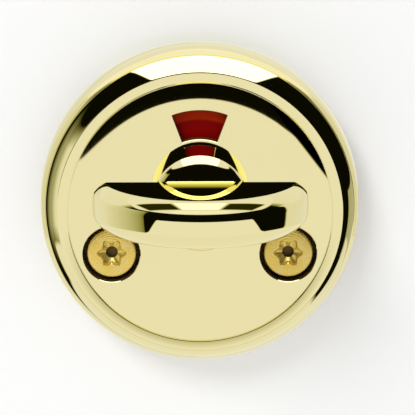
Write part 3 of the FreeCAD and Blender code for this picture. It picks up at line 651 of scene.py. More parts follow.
class Skin:
    """A mesh in the making: loops of points, the bands between them and the caps on them."""

    def __init__(self):
        self.mesh = bmesh.new()
        self.paint = OUTSIDE

    def face(self, verts):
        self.mesh.faces.new(verts).material_index = self.paint

    def loop(self, points):
        return [self.mesh.verts.new(p) for p in points]

    def band(self, first, second, closed=True):
        count = len(first)
        for i in range(count if closed else count - 1):
            j = (i + 1) % count
            self.face((first[i], first[j], second[j], second[i]))

    def bands(self, loops, closed=True):
        for first, second in zip(loops, loops[1:]):
            self.band(first, second, closed)

    def cap(self, loop):
        self.face(loop)

    def triangles(self, verts, triples):
        for triple in triples:
            self.face([verts[i] for i in triple])

    def turned(self, profile, x=0.0, z=0.0, steps=ROUND_STEPS):
        """Rings of a profile of (radius, height) about an axis square to the door."""
        rings = [(ring(radius, x, z, steps), high) for radius, high in profile]
        return [self.loop([stand(px, pz, high) for px, pz in points]) for points, high in rings]

    def finish(self, name, *finishes, sharp=SHARP_ANGLE):
        """The object: faces turned outwards, smooth but for its sharp edges."""
        bmesh.ops.recalc_face_normals(self.mesh, faces=self.mesh.faces[:])
        mesh = bpy.data.meshes.new(name)
        self.mesh.to_mesh(mesh)
        self.mesh.free()
        mesh.polygons.foreach_set("use_smooth", [True] * len(mesh.polygons))
        mesh.set_sharp_from_angle(angle=math.radians(sharp))
        for kind in finishes:
            mesh.materials.append(finish_of(kind))
        obj = bpy.data.objects.new(name, mesh)
        bpy.context.scene.collection.objects.link(obj)
        return obj


def ring(radius, x=0.0, z=0.0, steps=ROUND_STEPS):
    return [
        (x + radius * math.cos(FULL_TURN * i / steps), z + radius * math.sin(FULL_TURN * i / steps))
        for i in range(steps)
    ]


def window_outline(inner, outer, half_angle, grow):
    """The window's sector above the axis, wider by a margin all round, always with as many points."""
    far, near = outer + grow, inner - grow
    far_half = half_angle + math.asin(grow / far)
    near_half = half_angle + math.asin(grow / near)
    up = HALF_TURN / 2
    across, along = 24, 8

    def spot(radius, turn):
        return radius * math.cos(up + turn), radius * math.sin(up + turn)

    right_far, left_far = spot(far, -far_half), spot(far, far_half)
    left_near, right_near = spot(near, near_half), spot(near, -near_half)
    points = [spot(far, far_half * (2 * i / across - 1)) for i in range(across)]
    points += [tuple(Vector(left_far).lerp(Vector(left_near), i / along)) for i in range(along)]
    points += [spot(near, near_half * (1 - 2 * i / across)) for i in range(across)]
    points += [tuple(Vector(right_near).lerp(Vector(right_far), i / along)) for i in range(along)]
    return points


def inside(polygon, point):
    """Whether a point lies in a closed outline."""
    px, py = point
    within = False
    for (ax, ay), (bx, by) in zip(polygon, polygon[1:] + polygon[:1]):
        if (ay > py) != (by > py) and px < (bx - ax) * (py - ay) / (by - ay) + ax:
            within = not within
    return within


def clear_of(polygon, point, margin):
    """Whether a point lies outside an outline and a margin away from its points."""
    if inside(polygon, point):
        return False
    return all(math.hypot(point[0] - x, point[1] - y) > margin for x, y in polygon)


def pierced_sheet(rim, holes, scatter):
    """Points of a flat sheet with holes, in the order rim, holes, scatter, and its triangles."""
    points = list(rim)
    edges = [(i, (i + 1) % len(rim)) for i in range(len(rim))]
    for hole in holes:
        base = len(points)
        edges += [(base + i, base + (i + 1) % len(hole)) for i in range(len(hole))]
        points += hole
    points += scatter
    scaled = [Vector(p) / MM for p in points]
    _, _, faces, sources, _, _ = delaunay_2d_cdt(scaled, edges, [], 0, 1e-6)
    triples = []
    for face in faces:
        triple = [sources[i][0] for i in face]
        middle = tuple(sum((Vector(points[i]) for i in triple), Vector((0, 0))) / 3)
        if inside(rim, middle) and not any(inside(hole, middle) for hole in holes):
            triples.append(triple)
    return points, triples


def screw_places():
    sizes = bpy.context.scene.lock_screws
    return {"left": (-sizes.spacing / 2, -sizes.drop), "right": (sizes.spacing / 2, -sizes.drop)}


def rose_outside(sizes):
    """The rose's profile of (radius, height), from the ledge at its back to the edge of its face."""
    side = sizes.foot_radius - sizes.side_draft
    neck = side - sizes.shoulder_width
    neck_height = sizes.side_height + sizes.shoulder_rise
    crest = (sizes.crest_radius, sizes.height)
    band = (sizes.face_radius + sizes.groove_width, sizes.height - sizes.band_fall)
    groove = (sizes.face_radius + sizes.groove_wall, sizes.height - sizes.groove_depth)
    rim = (sizes.face_radius, sizes.height - sizes.face_fall)
    ledge = sizes.foot_radius - sizes.rim_wall + sizes.ledge_width
    foot = (sizes.foot_radius, 0.0)
    shoulder = arc_path((side, sizes.side_height), (neck, neck_height), sizes.shoulder_radius, steps=6)
    bulge = arc_path((neck, neck_height), crest, sizes.bulge_radius, steps=28)
    path = [(ledge, sizes.ledge_height), (ledge, 0.0), foot]
    path += shoulder + bulge[1:] + [band, groove, rim]
    for corner, millimetres in ((foot, 0.25), (crest, 0.09), (band, 0.08), (groove, 0.04)):
        path = soften(path, corner, millimetres * MM)
    return path


def is_lit_edge(sizes, first, second):
    """Whether the profile between two points is the rose's shoulder, its side or its groove."""
    middle = (first[0] + second[0]) / 2
    neck = sizes.foot_radius - sizes.side_draft - sizes.shoulder_width
    return middle > neck or middle < sizes.face_radius + sizes.groove_width


def face_height(sizes, x, z):
    """How far the face stands above the door at a point; its edge is rolled."""
    reach = math.hypot(x, z + sizes.axis_rise)
    run = (reach - sizes.face_radius + sizes.face_roll) / sizes.face_roll
    return sizes.height - sizes.face_fall * max(0.0, run) ** 2


def rose_holes(sizes, grow):
    """Outlines of window, shaft hole and counterbores, wider by a margin."""
    holes = [
        window_outline(sizes.window_inner, sizes.window_outer, sizes.window_angle / 2, grow),
        ring(sizes.shaft_hole + grow, steps=HOLE_STEPS),
    ]
    for x, z in screw_places().values():
        holes.append(ring(sizes.counterbore + grow, x, z, steps=HOLE_STEPS))
    return holes


# Points on the face: rings on its flat, rings on its rolled edge, points for each millimetre of a ring's
# radius, the fewest on a ring, and how far they keep from a hole.
FLAT_RINGS = 9
ROLL_RINGS = 8
POINTS_PER_MM = 8
LEAST_POINTS = 12
HOLE_MARGIN = 0.35 * MM


def face_points(sizes, holes):
    """Points spread over the face in rings, closer where its edge is rolled."""
    points = []
    inner = sizes.face_radius - sizes.face_roll
    radii = [inner * i / FLAT_RINGS for i in range(1, FLAT_RINGS + 1)]
    radii += [inner + sizes.face_roll * i / ROLL_RINGS for i in range(1, ROLL_RINGS)]
    for reach in radii:
        steps = max(LEAST_POINTS, int(reach / MM * POINTS_PER_MM))
        for point in ring(reach, 0.0, -sizes.axis_rise, steps):
            if all(clear_of(hole, point, HOLE_MARGIN) for hole in holes):
                points.append(point)
    return points


def build_rose():
    sizes = bpy.context.scene.lock_rose
    skin = Skin()
    ceiling = sizes.height - sizes.face_wall
    profile = rose_outside(sizes)
    outside = skin.turned(profile, 0.0, -sizes.axis_rise)
    cavity = sizes.foot_radius - sizes.rim_wall
    inside_wall = skin.turned(
        [
            (cavity, sizes.ledge_height),
            (cavity, sizes.side_height),
            (sizes.face_radius - sizes.crown_wall, ceiling),
        ],
        0.0,
        -sizes.axis_rise,
    )
    skin.bands(list(reversed(inside_wall)) + outside[:1])
    for number, (first, second) in enumerate(zip(profile, profile[1:])):
        # The shoulder, side and groove get the clean-mirror copy of the brass, which their own light panels
        # paint lighter: painted light.
        skin.paint = LIT_EDGE_OR_RECESS if is_lit_edge(sizes, first, second) else OUTSIDE
        skin.band(outside[number], outside[number + 1])
    skin.paint = OUTSIDE
    wide = rose_holes(sizes, sizes.edge)
    rim = ring(sizes.face_radius, 0.0, -sizes.axis_rise)
    points, triples = pierced_sheet(rim, wide, face_points(sizes, wide))
    verts = list(outside[-1])
    verts += skin.loop([stand(x, z, face_height(sizes, x, z)) for x, z in points[len(rim) :]])
    skin.triangles(verts, triples)
    plain = rose_holes(sizes, 0.0)
    low_rim = ring(sizes.face_radius - sizes.crown_wall, 0.0, -sizes.axis_rise)
    low_points, low_triples = pierced_sheet(low_rim, plain, [])
    low_verts = list(inside_wall[-1])
    low_verts += skin.loop([stand(x, z, ceiling) for x, z in low_points[len(low_rim) :]])
    skin.triangles(low_verts, low_triples)
    high_at, low_at = len(rim), len(low_rim)
    for number, hole in enumerate(wide):
        count = len(hole)
        mouth = verts[high_at : high_at + count]
        wall = skin.loop([stand(x, z, face_height(sizes, x, z) - sizes.edge) for x, z in plain[number]])
        skin.band(mouth, wall)
        # The walls of the holes take the dark bore finish: painted shade.
        skin.paint = SHADED_BORE
        skin.band(wall, low_verts[low_at : low_at + count])
        skin.paint = OUTSIDE
        high_at += count
        low_at += count
    # The counterbores' walls and the bosses also take the dark bore finish: painted shade.
    skin.paint = SHADED_BORE
    for x, z in screw_places().values():
        boss_tube(skin, sizes, x, z, ceiling)
    rose = skin.finish("rose_polished", "polished_brass", "bored_brass", "bright_brass")
    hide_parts("rose")
    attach(rose, "rose")


def boss_tube(skin, sizes, x, z, ceiling):
    """The boss behind a counterbore, with the screw's seat and way in it."""
    seat = sizes.height - sizes.counterbore_depth
    profile = [
        (sizes.counterbore, ceiling),
        (sizes.counterbore, seat),
        (sizes.screw_way, seat),
        (sizes.screw_way, sizes.ledge_height),
        (sizes.boss, sizes.ledge_height),
        (sizes.boss, ceiling),
    ]
    loops = skin.turned(profile, x, z, HOLE_STEPS)
    skin.bands(loops + loops[:1])


# How far the corners of the knob are softened each way: at the wing's flat and at the hub's back.
FLAT_SOFT = 0.22 * MM
HUB_BACK_SOFT = 0.2 * MM


def wing_profile(sizes):
    """Half of the wing's section as (radius, height above its middle), from the rim's middle to its flat."""
    knee = sizes.wing_half - sizes.bevel_height
    cheek = knee - sizes.brow_height
    brow_at = (sizes.wing_radius - sizes.brow_width, knee)
    flat_at = (sizes.wing_radius - sizes.bevel_width, sizes.wing_half)
    fall = cheek**2 / (2 * sizes.cheek_radius)
    steps = 6
    path = [(sizes.wing_radius - fall * (i / steps) ** 2, cheek * i / steps) for i in range(steps)]
    path += arc_path((sizes.wing_radius - fall, cheek), brow_at, sizes.brow_radius, steps=8)
    path += arc_path(brow_at, flat_at, sizes.bevel_radius, steps=14)[1:]
    on_flat = (flat_at[0] - 1.0 * MM, sizes.wing_half)
    return soften(path + [on_flat], flat_at, FLAT_SOFT)[:-1]


def add_wing(skin, sizes):
    """The half-moon: its section swept round an axis up the door, and cut straight at the hub's end."""
    upper = wing_profile(sizes)
    section = [(r, -h) for r, h in reversed(upper)] + upper[1:]
    steps = 160
    columns = []
    for radius, high in section:
        start = math.asin(sizes.wing_setback / radius)
        points = []
        for step in range(steps + 1):
            turn = start + (HALF_TURN - 2 * start) * step / steps
            out = sizes.hub_front - sizes.wing_setback + radius * math.sin(turn)
            points.append(stand(radius * math.cos(turn), high, out))
        columns.append(skin.loop(points))
    skin.bands(columns, closed=False)
    skin.cap(columns[-1])
    skin.cap(columns[0])
    skin.cap([c[0] for c in columns] + [c[-1] for c in reversed(columns)])


def add_wing_root(skin, sizes):
    """Fills the hub's rounded edge behind the wing."""
    reach = math.sqrt(sizes.hub_radius**2 - sizes.wing_half**2)
    limit = math.atan2(sizes.wing_half, reach)
    half = 8
    arc = [limit * (i / half - 1) for i in range(2 * half + 1)]
    plan = [(sizes.hub_radius * math.cos(a), sizes.hub_radius * math.sin(a)) for a in arc]
    plan += [(-x, -z) for x, z in plan]
    low = skin.loop([stand(x, z, sizes.hub_front - sizes.hub_edge * 2) for x, z in plan])
    high = skin.loop([stand(x, z, sizes.hub_front) for x, z in plan])
    skin.band(low, high)
    skin.cap(low)
    skin.cap(high)


def add_root_fillet(skin, sizes, side):
    """A small hollow between the hub's end and a flat of the wing."""
    fillet = sizes.root_fillet
    flat = sizes.hub_radius - sizes.hub_edge
    sunk = 0.2 * MM
    steps = 8
    section = [(-sunk, -sunk), (fillet, -sunk)]
    for step in range(steps + 1):
        turn = HALF_TURN / 2 * step / steps
        section.append((fillet * (1 - math.sin(turn)), fillet * (1 - math.cos(turn))))
    section.append((-sunk, fillet))
    loops = []
    for end in (-1, 1):
        points = []
        for out, up in section:
            height = sizes.wing_half + up
            reach = math.sqrt(max(flat**2 - height**2, 0.0))
            points.append(stand(end * reach, side * height, sizes.hub_front + out))
        loops.append(skin.loop(points))
    skin.band(*loops)
    skin.cap(loops[0])
    skin.cap(loops[1])


# The chamfer on the shaft's end, and the set screw's hole: its inner end from the axis, its points, and how
# far out its cutter goes, in hub radii.
SHAFT_CHAMFER = 0.4 * MM
TAPPED_FROM = 2.5 * MM
TAPPED_STEPS = 40
TAPPED_REACH = 1.5


def hub_profile(sizes):
    """Shaft and hub as (radius, height), from the shaft's end to the hub's front."""
    edge_start = (sizes.hub_radius, sizes.hub_front - sizes.hub_edge)
    edge_end = (sizes.hub_radius - sizes.hub_edge, sizes.hub_front)
    back = (sizes.hub_radius, sizes.hub_back)
    path = [
        (sizes.shaft_radius - SHAFT_CHAMFER, sizes.shaft_end),
        (sizes.shaft_radius, sizes.shaft_end + SHAFT_CHAMFER),
        (sizes.shaft_radius, sizes.hub_back),
        back,
    ]
    path += arc_path(edge_start, edge_end, sizes.hub_edge_radius, steps=14)
    return soften(path, back, HUB_BACK_SOFT)


def settle(obj):
    """Makes an object's modifiers part of its mesh."""
    made = bpy.data.meshes.new_from_object(obj.evaluated_get(bpy.context.evaluated_depsgraph_get()))
    old = obj.data
    obj.modifiers.clear()
    obj.data = made
    bpy.data.meshes.remove(old)


def cut_set_screw_hole(obj, sizes):
    """Cuts the tapped hole into the hub's lower side."""
    cutter = Skin()
    points = ring(sizes.set_screw_hole, steps=TAPPED_STEPS)
    loops = [
        cutter.loop([(x, -sizes.set_screw_height + y, -depth) for x, y in points])
        for depth in (TAPPED_FROM, sizes.hub_radius * TAPPED_REACH)
    ]
    cutter.band(*loops)
    cutter.cap(loops[0])
    cutter.cap(loops[1])
    tool = cutter.finish("set_screw_hole_cutter", "mirror_brass")
    cut = obj.modifiers.new("set_screw_hole", "BOOLEAN")
    cut.operation = "DIFFERENCE"
    cut.solver = "EXACT"
    cut.object = tool
    settle(obj)
    bpy.data.objects.remove(tool)


def build_thumb_turn():
    sizes = bpy.context.scene.lock_turn
    skin = Skin()
    loops = skin.turned(hub_profile(sizes))
    skin.bands(loops)
    skin.cap(loops[0])
    skin.cap(loops[-1])
    hub = skin.finish("hub_polished", "mirror_brass", sharp=KNOB_SHARP_ANGLE)
    cut_set_screw_hole(hub, sizes)
    skin = Skin()
    add_wing(skin, sizes)
    add_wing_root(skin, sizes)
    add_root_fillet(skin, sizes, 1)
    add_root_fillet(skin, sizes, -1)
    wing = skin.finish("wing_polished", "mirror_brass", sharp=KNOB_SHARP_ANGLE)
    for piece in (hub, wing):
        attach(piece, "turn")
    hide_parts("thumb_turn")
    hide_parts("thumb_turn")


# The recess: how round its lobes are, the chamfer at its mouth, its taper, and its well's slope and its width
# as a share of the waist.
LOBE_ROUND = 0.18
RECESS_EDGE = 0.28 * MM
RECESS_TAPER = 0.1 * MM
WELL_SLOPE = 0.4 * MM
WELL_SHARE = 0.62
# The slope from the neck to the core, and how much flatter than round the head's edge is.
NECK_SLOPE = 0.3 * MM
HEAD_EDGE_FLATTER = 1.05


def recess_outline(sizes, grow, x, z):
    """The six-lobe recess, with round lobes and round waists."""
    mean = (sizes.recess_radius + sizes.recess_waist) / 2
    swing = (sizes.recess_radius - sizes.recess_waist) / 2
    points = []
    for i in range(SCREW_STEPS):
        turn = FULL_TURN * i / SCREW_STEPS
        wave = math.cos(6 * turn)
        radius = mean + swing * (wave - LOBE_ROUND * (1 - wave * wave)) + grow
        points.append((x + radius * math.cos(turn), z + radius * math.sin(turn)))
    return points


def build_fixing_screw(side, place):
    sizes = bpy.context.scene.lock_screws
    x, z = place
    crown = sizes.seat + sizes.head_height
    end = sizes.seat - sizes.under_head
    top_edge = (sizes.head_radius, crown - sizes.head_edge)
    top = (sizes.head_radius - sizes.head_edge, crown)
    profile = [
        (sizes.core_radius - sizes.tip, end),
        (sizes.core_radius, end + sizes.tip),
        (sizes.core_radius, -sizes.neck_end - NECK_SLOPE),
        (sizes.neck_radius, -sizes.neck_end),
        (sizes.neck_radius, sizes.seat),
        (sizes.head_radius, sizes.seat),
    ]
    profile += arc_path(top_edge, top, sizes.head_edge * HEAD_EDGE_FLATTER, steps=6)
    skin = Skin()
    loops = skin.turned(profile, x, z, SCREW_STEPS)
    skin.bands(loops)
    skin.cap(loops[0])
    rim = ring(top[0], x, z, SCREW_STEPS)
    mouth = recess_outline(sizes, RECESS_EDGE, x, z)
    points, triples = pierced_sheet(rim, [mouth], [])
    verts = list(loops[-1]) + skin.loop([stand(px, pz, crown) for px, pz in points[len(rim) :]])
    skin.triangles(verts, triples)
    well = ring(sizes.recess_waist * WELL_SHARE, x, z, SCREW_STEPS)
    walls = [verts[len(rim) :]]
    for outline, depth in (
        (recess_outline(sizes, 0.0, x, z), RECESS_EDGE),
        (recess_outline(sizes, -RECESS_TAPER, x, z), sizes.recess_step),
        (well, sizes.recess_step + WELL_SLOPE),
        (well, sizes.recess_depth),
    ):
        walls.append(skin.loop([stand(px, pz, crown - depth) for px, pz in outline]))
    skin.paint = LIT_EDGE_OR_RECESS
    skin.bands(walls[:-1])
    # The recess's well takes the dark bore finish: painted shade at the bottom of the recess.
    skin.paint = SHADED_BORE
    skin.band(walls[-2], walls[-1])
    skin.cap(walls[-1])
    screw = skin.finish(f"fixing_screw_{side}_turned", "yellow_plated_steel", "bored_brass", "recess_plating")
    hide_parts(f"fixing_screw_{side}")
    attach(screw, "rose")


def thread_tree():
    """A thread's ridge wound round its core, repeated at both screws."""
    tree = bpy.data.node_groups.new("screw_threads", "GeometryNodeTree")
    for socket, kind in (
        ("Crest Radius", "NodeSocketFloat"),
        ("Ridge", "NodeSocketFloat"),
        ("Pitch", "NodeSocketFloat"),
        ("Length", "NodeSocketFloat"),
        ("Spacing", "NodeSocketFloat"),
        ("Centre", "NodeSocketVector"),
        ("Material", "NodeSocketMaterial"),
    ):
        tree.interface.new_socket(name=socket, in_out="INPUT", socket_type=kind)
    tree.interface.new_socket(name="Threads", in_out="OUTPUT", socket_type="NodeSocketGeometry")
    nodes = Finish(tree)
    given = nodes.add("NodeGroupInput").outputs
    out = nodes.add("NodeGroupOutput").inputs
    path_radius = nodes.maths("SUBTRACT", given["Crest Radius"], given["Ridge"])
    helix = nodes.add(
        "GeometryNodeCurveSpiral",
        {
            "Resolution": 28,
            "Rotations": nodes.maths("DIVIDE", given["Length"], given["Pitch"]),
            "Start Radius": path_radius,
            "End Radius": path_radius,
            "Height": given["Length"],
        },
    )
    upright = nodes.add("GeometryNodeSetCurveNormal", {"Curve": helix.outputs["Curve"]}, mode="Z_UP")
    section = nodes.add("GeometryNodeCurvePrimitiveCircle", {"Resolution": 4, "Radius": given["Ridge"]})
    ridge = nodes.add(
        "GeometryNodeCurveToMesh",
        {"Curve": upright.outputs["Curve"], "Profile Curve": section.outputs["Curve"], "Fill Caps": True},
    )
    laid = nodes.add(
        "GeometryNodeTransform", {"Geometry": ridge.outputs["Mesh"], "Rotation": (-HALF_TURN / 2, 0.0, 0.0)}
    )
    half = nodes.times(given["Spacing"], -0.5)
    start = nodes.add("ShaderNodeCombineXYZ", {"X": half}).outputs[0]
    first = nodes.add("ShaderNodeVectorMath", {0: start, 1: given["Centre"]}, operation="ADD").outputs[0]
    step = nodes.add("ShaderNodeCombineXYZ", {"X": given["Spacing"]}).outputs[0]
    places = nodes.add("GeometryNodeMeshLine", {"Count": 2, "Start Location": first, "Offset": step})
    copies = nodes.add(
        "GeometryNodeInstanceOnPoints",
        {"Points": places.outputs["Mesh"], "Instance": laid.outputs["Geometry"]},
    )
    real = nodes.add("GeometryNodeRealizeInstances", {"Geometry": copies.outputs["Instances"]})
    finished = nodes.add(
        "GeometryNodeSetMaterial", {"Geometry": real.outputs["Geometry"], "Material": given["Material"]}
    )
    nodes.feed(finished.outputs["Geometry"], out["Threads"])
    return tree


# A thread's ridge as a share of its pitch, where it starts behind the neck, and how much shorter it is.
RIDGE_SHARE = 0.48
THREAD_START = 0.4 * MM
THREAD_CUT = 0.5 * MM


def build_threads():
    sizes = bpy.context.scene.lock_screws
    tree = thread_tree()
    mesh = bpy.data.meshes.new("fixing_screw_threads")
    obj = bpy.data.objects.new("fixing_screw_threads", mesh)
    bpy.context.scene.collection.objects.link(obj)
    modifier = obj.modifiers.new("threads", "NODES")
    modifier.node_group = tree
    threaded = sizes.under_head - sizes.seat - sizes.neck_end - sizes.tip
    values = {
        "Crest Radius": sizes.thread_radius,
        "Ridge": sizes.pitch * RIDGE_SHARE,
        "Pitch": sizes.pitch,
        "Length": threaded - THREAD_CUT,
        "Spacing": sizes.spacing,
        "Centre": (0.0, sizes.neck_end + THREAD_START, -sizes.drop),
        "Material": finish_of("yellow_plated_steel"),
    }
    for item in tree.interface.items_tree:
        if item.in_out == "INPUT":
            modifier[item.identifier] = values[item.name]
    settle(obj)
    obj.data.name = "fixing_screw_threads"
    obj.data.polygons.foreach_set("use_smooth", [True] * len(obj.data.polygons))
    obj.data.set_sharp_from_angle(angle=math.radians(SHARP_ANGLE))
    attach(obj, "rose")


# Solids whose finish is a variety of their slot's.
NODE_FINISHES = {f"plate_screw_{number}": "bright_zinc" for number in (1, 2, 3)}
NODE_FINISHES |= {"spindle": "spindle_steel", "spindle_set_screw": "set_screw_steel"}


def dress_nodes(*slots):
    """Gives every shown solid of these material slots its finish."""
    for row in frame["record"]["subparts"]:
        if row["material_slot"] in slots:
            for holder in frame["nodes"][row["node"]].material_slots:
                holder.material = finish_of(NODE_FINISHES.get(row["node"], row["material_slot"]))


def soft_panel_group():
    """A mask that is 1 inside a soft-edged rectangle of two coordinates and 0 outside it."""
    name = "soft_panel"
    if name in bpy.data.node_groups:
        return bpy.data.node_groups[name]
    finish, given, out = new_group(
        name,
        [
            ("Across", "NodeSocketFloat", 0.0),
            ("Up", "NodeSocketFloat", 0.0),
            ("Across Middle", "NodeSocketFloat", 0.0),
            ("Across Half", "NodeSocketFloat", 1.0),
            ("Up Middle", "NodeSocketFloat", 0.0),
            ("Up Half", "NodeSocketFloat", 1.0),
            ("Across Softness", "NodeSocketFloat", 0.1),
            ("Up Softness", "NodeSocketFloat", 0.1),
        ],
        [("Mask", "NodeSocketFloat")],
    )
    sides = []
    for axis in ("Across", "Up"):
        off = finish.maths("SUBTRACT", given[axis], given[f"{axis} Middle"])
        left = finish.maths("SUBTRACT", given[f"{axis} Half"], finish.maths("ABSOLUTE", off))
        sides.append(finish.maths("DIVIDE", left, given[f"{axis} Softness"], clamp=True))
    finish.feed(finish.times(*sides), out["Mask"])
    return finish.tree


# Light panels: azimuth from, to and soft, from the camera's side and positive to the right, then elevation
# from, to and soft, all in degrees, and strength. Rose, knob and the rose's shoulder stand at different
# distances from the cards about them, so each sees the panels at its own angles.
ROSE_PANELS = (
    ("table_front", -48.0, 59.0, 1.0, -29.0, -8.8, 0.3, 1.0),
    ("table_fold", -48.0, 59.0, 6.0, -50.0, -26.0, 1.0, 0.58),
    ("table_left", -120.0, -40.0, 8.0, -52.0, -23.0, 3.0, 0.97),
    ("table_right", 112.0, 200.0, 4.0, -52.0, -20.0, 3.0, 0.9),
    ("table_near", -200.0, 200.0, 1.0, -95.0, -46.0, 3.0, 0.97),
    ("table_far_left", -200.0, -100.0, 4.0, -95.0, -36.0, 3.0, 0.97),
    ("table_far_right", 112.0, 200.0, 4.0, -95.0, -36.0, 3.0, 0.97),
    ("left_card", -122.0, -26.0, 34.0, -30.0, 27.0, 12.0, 0.92),
    ("left_edge", -138.0, -50.0, 22.0, -30.0, 27.0, 12.0, 0.42),
    ("right_card", 108.0, 200.0, 4.0, -30.0, -5.0, 1.0, 0.5),
    ("left_back", -200.0, -150.0, 8.0, -44.0, -4.0, 3.0, 0.75),
)
KNOB_PANELS = (
    ("table_near", -200.0, 200.0, 1.0, -95.0, -22.0, 2.0, 0.97),
    ("left_card", -200.0, -61.0, 60.0, -30.0, 34.0, 4.0, 0.92),
    ("right_card", 99.0, 200.0, 3.0, -30.0, 34.0, 4.0, 0.9),
    ("left_wall", -200.0, -95.0, 14.0, 10.0, 60.0, 4.0, 0.95),
    ("right_wall", 101.0, 200.0, 14.0, 10.0, 60.0, 4.0, 0.95),
    ("ceiling", -200.0, 200.0, 1.0, 43.0, 95.0, 2.0, 1.0),
)
SHOULDER_PANELS = (
    ("left_side", -200.0, -48.0, 6.0, -36.0, 60.0, 4.0, 0.85),
    ("right_side", 48.0, 200.0, 6.0, -36.0, 60.0, 4.0, 0.85),
    ("top", -400.0, 400.0, 1.0, 25.0, 100.0, 12.0, 1.12),
)
# The table before the knob: azimuth from and to, elevation of its near and far edge. Below the far edge its
# sides spread by a share for each degree, down to so many degrees.
KNOB_TABLE = (-46.0, 54.0, -30.0, -7.3)
TABLE_SPREAD = 0.022
SPREAD_DOWN = 16.0
# Cards overhead, in the plane one unit above: middle, half width, its growth towards the back, front, back,
# soft, strength.
ROSE_SOFTBOX = (0.055, 0.555, 0.26, -1.19, 2.2, 0.02, 2.3)
KNOB_SOFTBOX = (0.0, 0.5, 0.0, -0.72, -0.3, 0.06, 1.12)
HUB_SOFTBOX = (0.0, 0.6, 0.0, -0.9, 1.5, 0.06, 2.0)
WING_SOFTBOX = (0.0, 0.27, 0.0, -0.3, 0.32, 0.06, 1.5)
WING_SHADE = (0.0, 0.85, 0.0, -0.28, 0.26, 0.06, 0.975)
# These cards show in directions that rise by more than this. Rise and growth are kept above a least value.
CARD_RISE = 0.06
LEAST_RISE = 0.05
LEAST_GROWTH = 0.1
# What stands further from the door than this is the hub, and further than that the wing.
HUB_FROM = 14.0 * MM
WING_FROM = 26.0 * MM
# Painted dark reflection on the face by its right edge, the light panels darkened there as if by a dark card:
# which way its straight side faces, how far that is from the turn axis and how soft it is.
DARK_REFLECTION_SIDE = (0.794, 0.607)
DARK_REFLECTION_FROM = 17.85 * MM
DARK_REFLECTION_SOFT = 0.3 * MM
# Which spots lie on the face: its middle, its radius, and how far from the door they are at least.
FACE_MIDDLE = -4.4 * MM
FACE_RADIUS = 22.35 * MM
FACE_FROM = 8.0 * MM
# The band round the face gets painted shade in its reflections below the middle, darker towards the groove:
# how wide, from where down, over what and by how much.
BAND_WIDTH = 1.5 * MM
BAND_FROM = -8.0 * MM
BAND_FADE = 12.0 * MM
BAND_SHADE = 0.42
# The foot of the hub's end over the wing, which the wing's flat mirrors: where its light ends, over what it
# fades, how far down it goes, and how far off the end a spot may be.
ROOT_TO = 5.0 * MM
ROOT_FADE = 0.9 * MM
ROOT_DEPTH = 2.0 * MM
END_SLACK = 0.1 * MM
# What shows where there is no panel.
DARK_LEVEL = 0.004
# Panels whose sides fade over more degrees than this fade by this power, slowly at first.
LONG_FADE = 50.0
LONG_FADE_POWER = 0.35
# Light that comes by way of two surfaces: from which depth, and how much further up it finds the panels.
DEEP_FROM = 1.5
DEEP_LIFT = 3.5
# Dim light is warmer, by a power of its level; in sharp mirrors the power is so much higher.
WARMTH = 0.5
SHARP_WARMTH = 0.4
# What the hub mirrors of the face is golden: how far to its sides, how far down, how much stronger it is and
# how much blue it loses.
GOLD_REACH = 16.5 * MM
GOLD_DROP = 6.0 * MM
GOLD_GAIN = 0.25
GOLD_LOSS = 0.5


def panel_mask(finish, across, up, sides, ends, side_soft, end_soft):
    """A mask of one panel, given the places of its sides and ends."""
    values = {
        "Across": across,
        "Up": up,
        "Across Middle": (sides[0] + sides[1]) / 2,
        "Across Half": (sides[1] - sides[0]) / 2,
        "Up Middle": (ends[0] + ends[1]) / 2,
        "Up Half": (ends[1] - ends[0]) / 2,
        "Across Softness": side_soft,
        "Up Softness": end_soft,
    }
    return group_node(finish, soft_panel_group(), values).outputs["Mask"]


def panel_light(finish, across, up, panels):
    """The strength of light panels at a direction given by its azimuth and elevation."""
    total = DARK_LEVEL
    for _, left, right, side_soft, low, high, end_soft, strength in panels:
        mask = panel_mask(finish, across, up, (left, right), (low, high), side_soft, end_soft)
        if side_soft > LONG_FADE:
            mask = finish.maths("POWER", mask, LONG_FADE_POWER)
        total = finish.maths("MAXIMUM", total, finish.times(mask, strength))
    return total


def table_light(finish, across, up):
    """The strength of the table before the knob at a direction."""
    left, right, near, far = KNOB_TABLE
    below = finish.maths("MAXIMUM", finish.maths("SUBTRACT", far, up), 0.0)
    below = finish.maths("MINIMUM", below, SPREAD_DOWN)
    turned = finish.maths("DIVIDE", across, finish.maths("MULTIPLY_ADD", below, TABLE_SPREAD, 1.0))
    return panel_light(finish, turned, up, (("table", left, right, 1.0, near, far, 0.3, 1.0),))


def softbox_light(finish, way, box):
    """The strength of a card overhead at a direction."""
    middle, half_width, growth, front, back, soft, strength = box
    above = finish.maths("MAXIMUM", way["Z"], LEAST_RISE)
    behind = finish.maths("DIVIDE", way["Y"], above)
    wider = finish.maths("MAXIMUM", finish.maths("MULTIPLY_ADD", behind, growth, 1.0), LEAST_GROWTH)
    across = finish.maths("DIVIDE", finish.maths("DIVIDE", way["X"], above), wider)
    sides = (middle - half_width, middle + half_width)
    mask = panel_mask(finish, across, behind, sides, (front, back), soft, soft)
    return finish.times(mask, finish.maths("GREATER_THAN", way["Z"], CARD_RISE), strength)


def mirrored_at(finish, ray_length):
    """The spot that mirrors the dome: the length of the ray from there tells it."""
    place = finish.add("ShaderNodeNewGeometry").outputs
    values = {0: place["Incoming"], "Scale": ray_length}
    back = finish.add("ShaderNodeVectorMath", values, operation="SCALE").outputs[0]
    spot = finish.add("ShaderNodeVectorMath", {0: place["Position"], 1: back}, operation="ADD").outputs[0]
    return finish.split(spot)


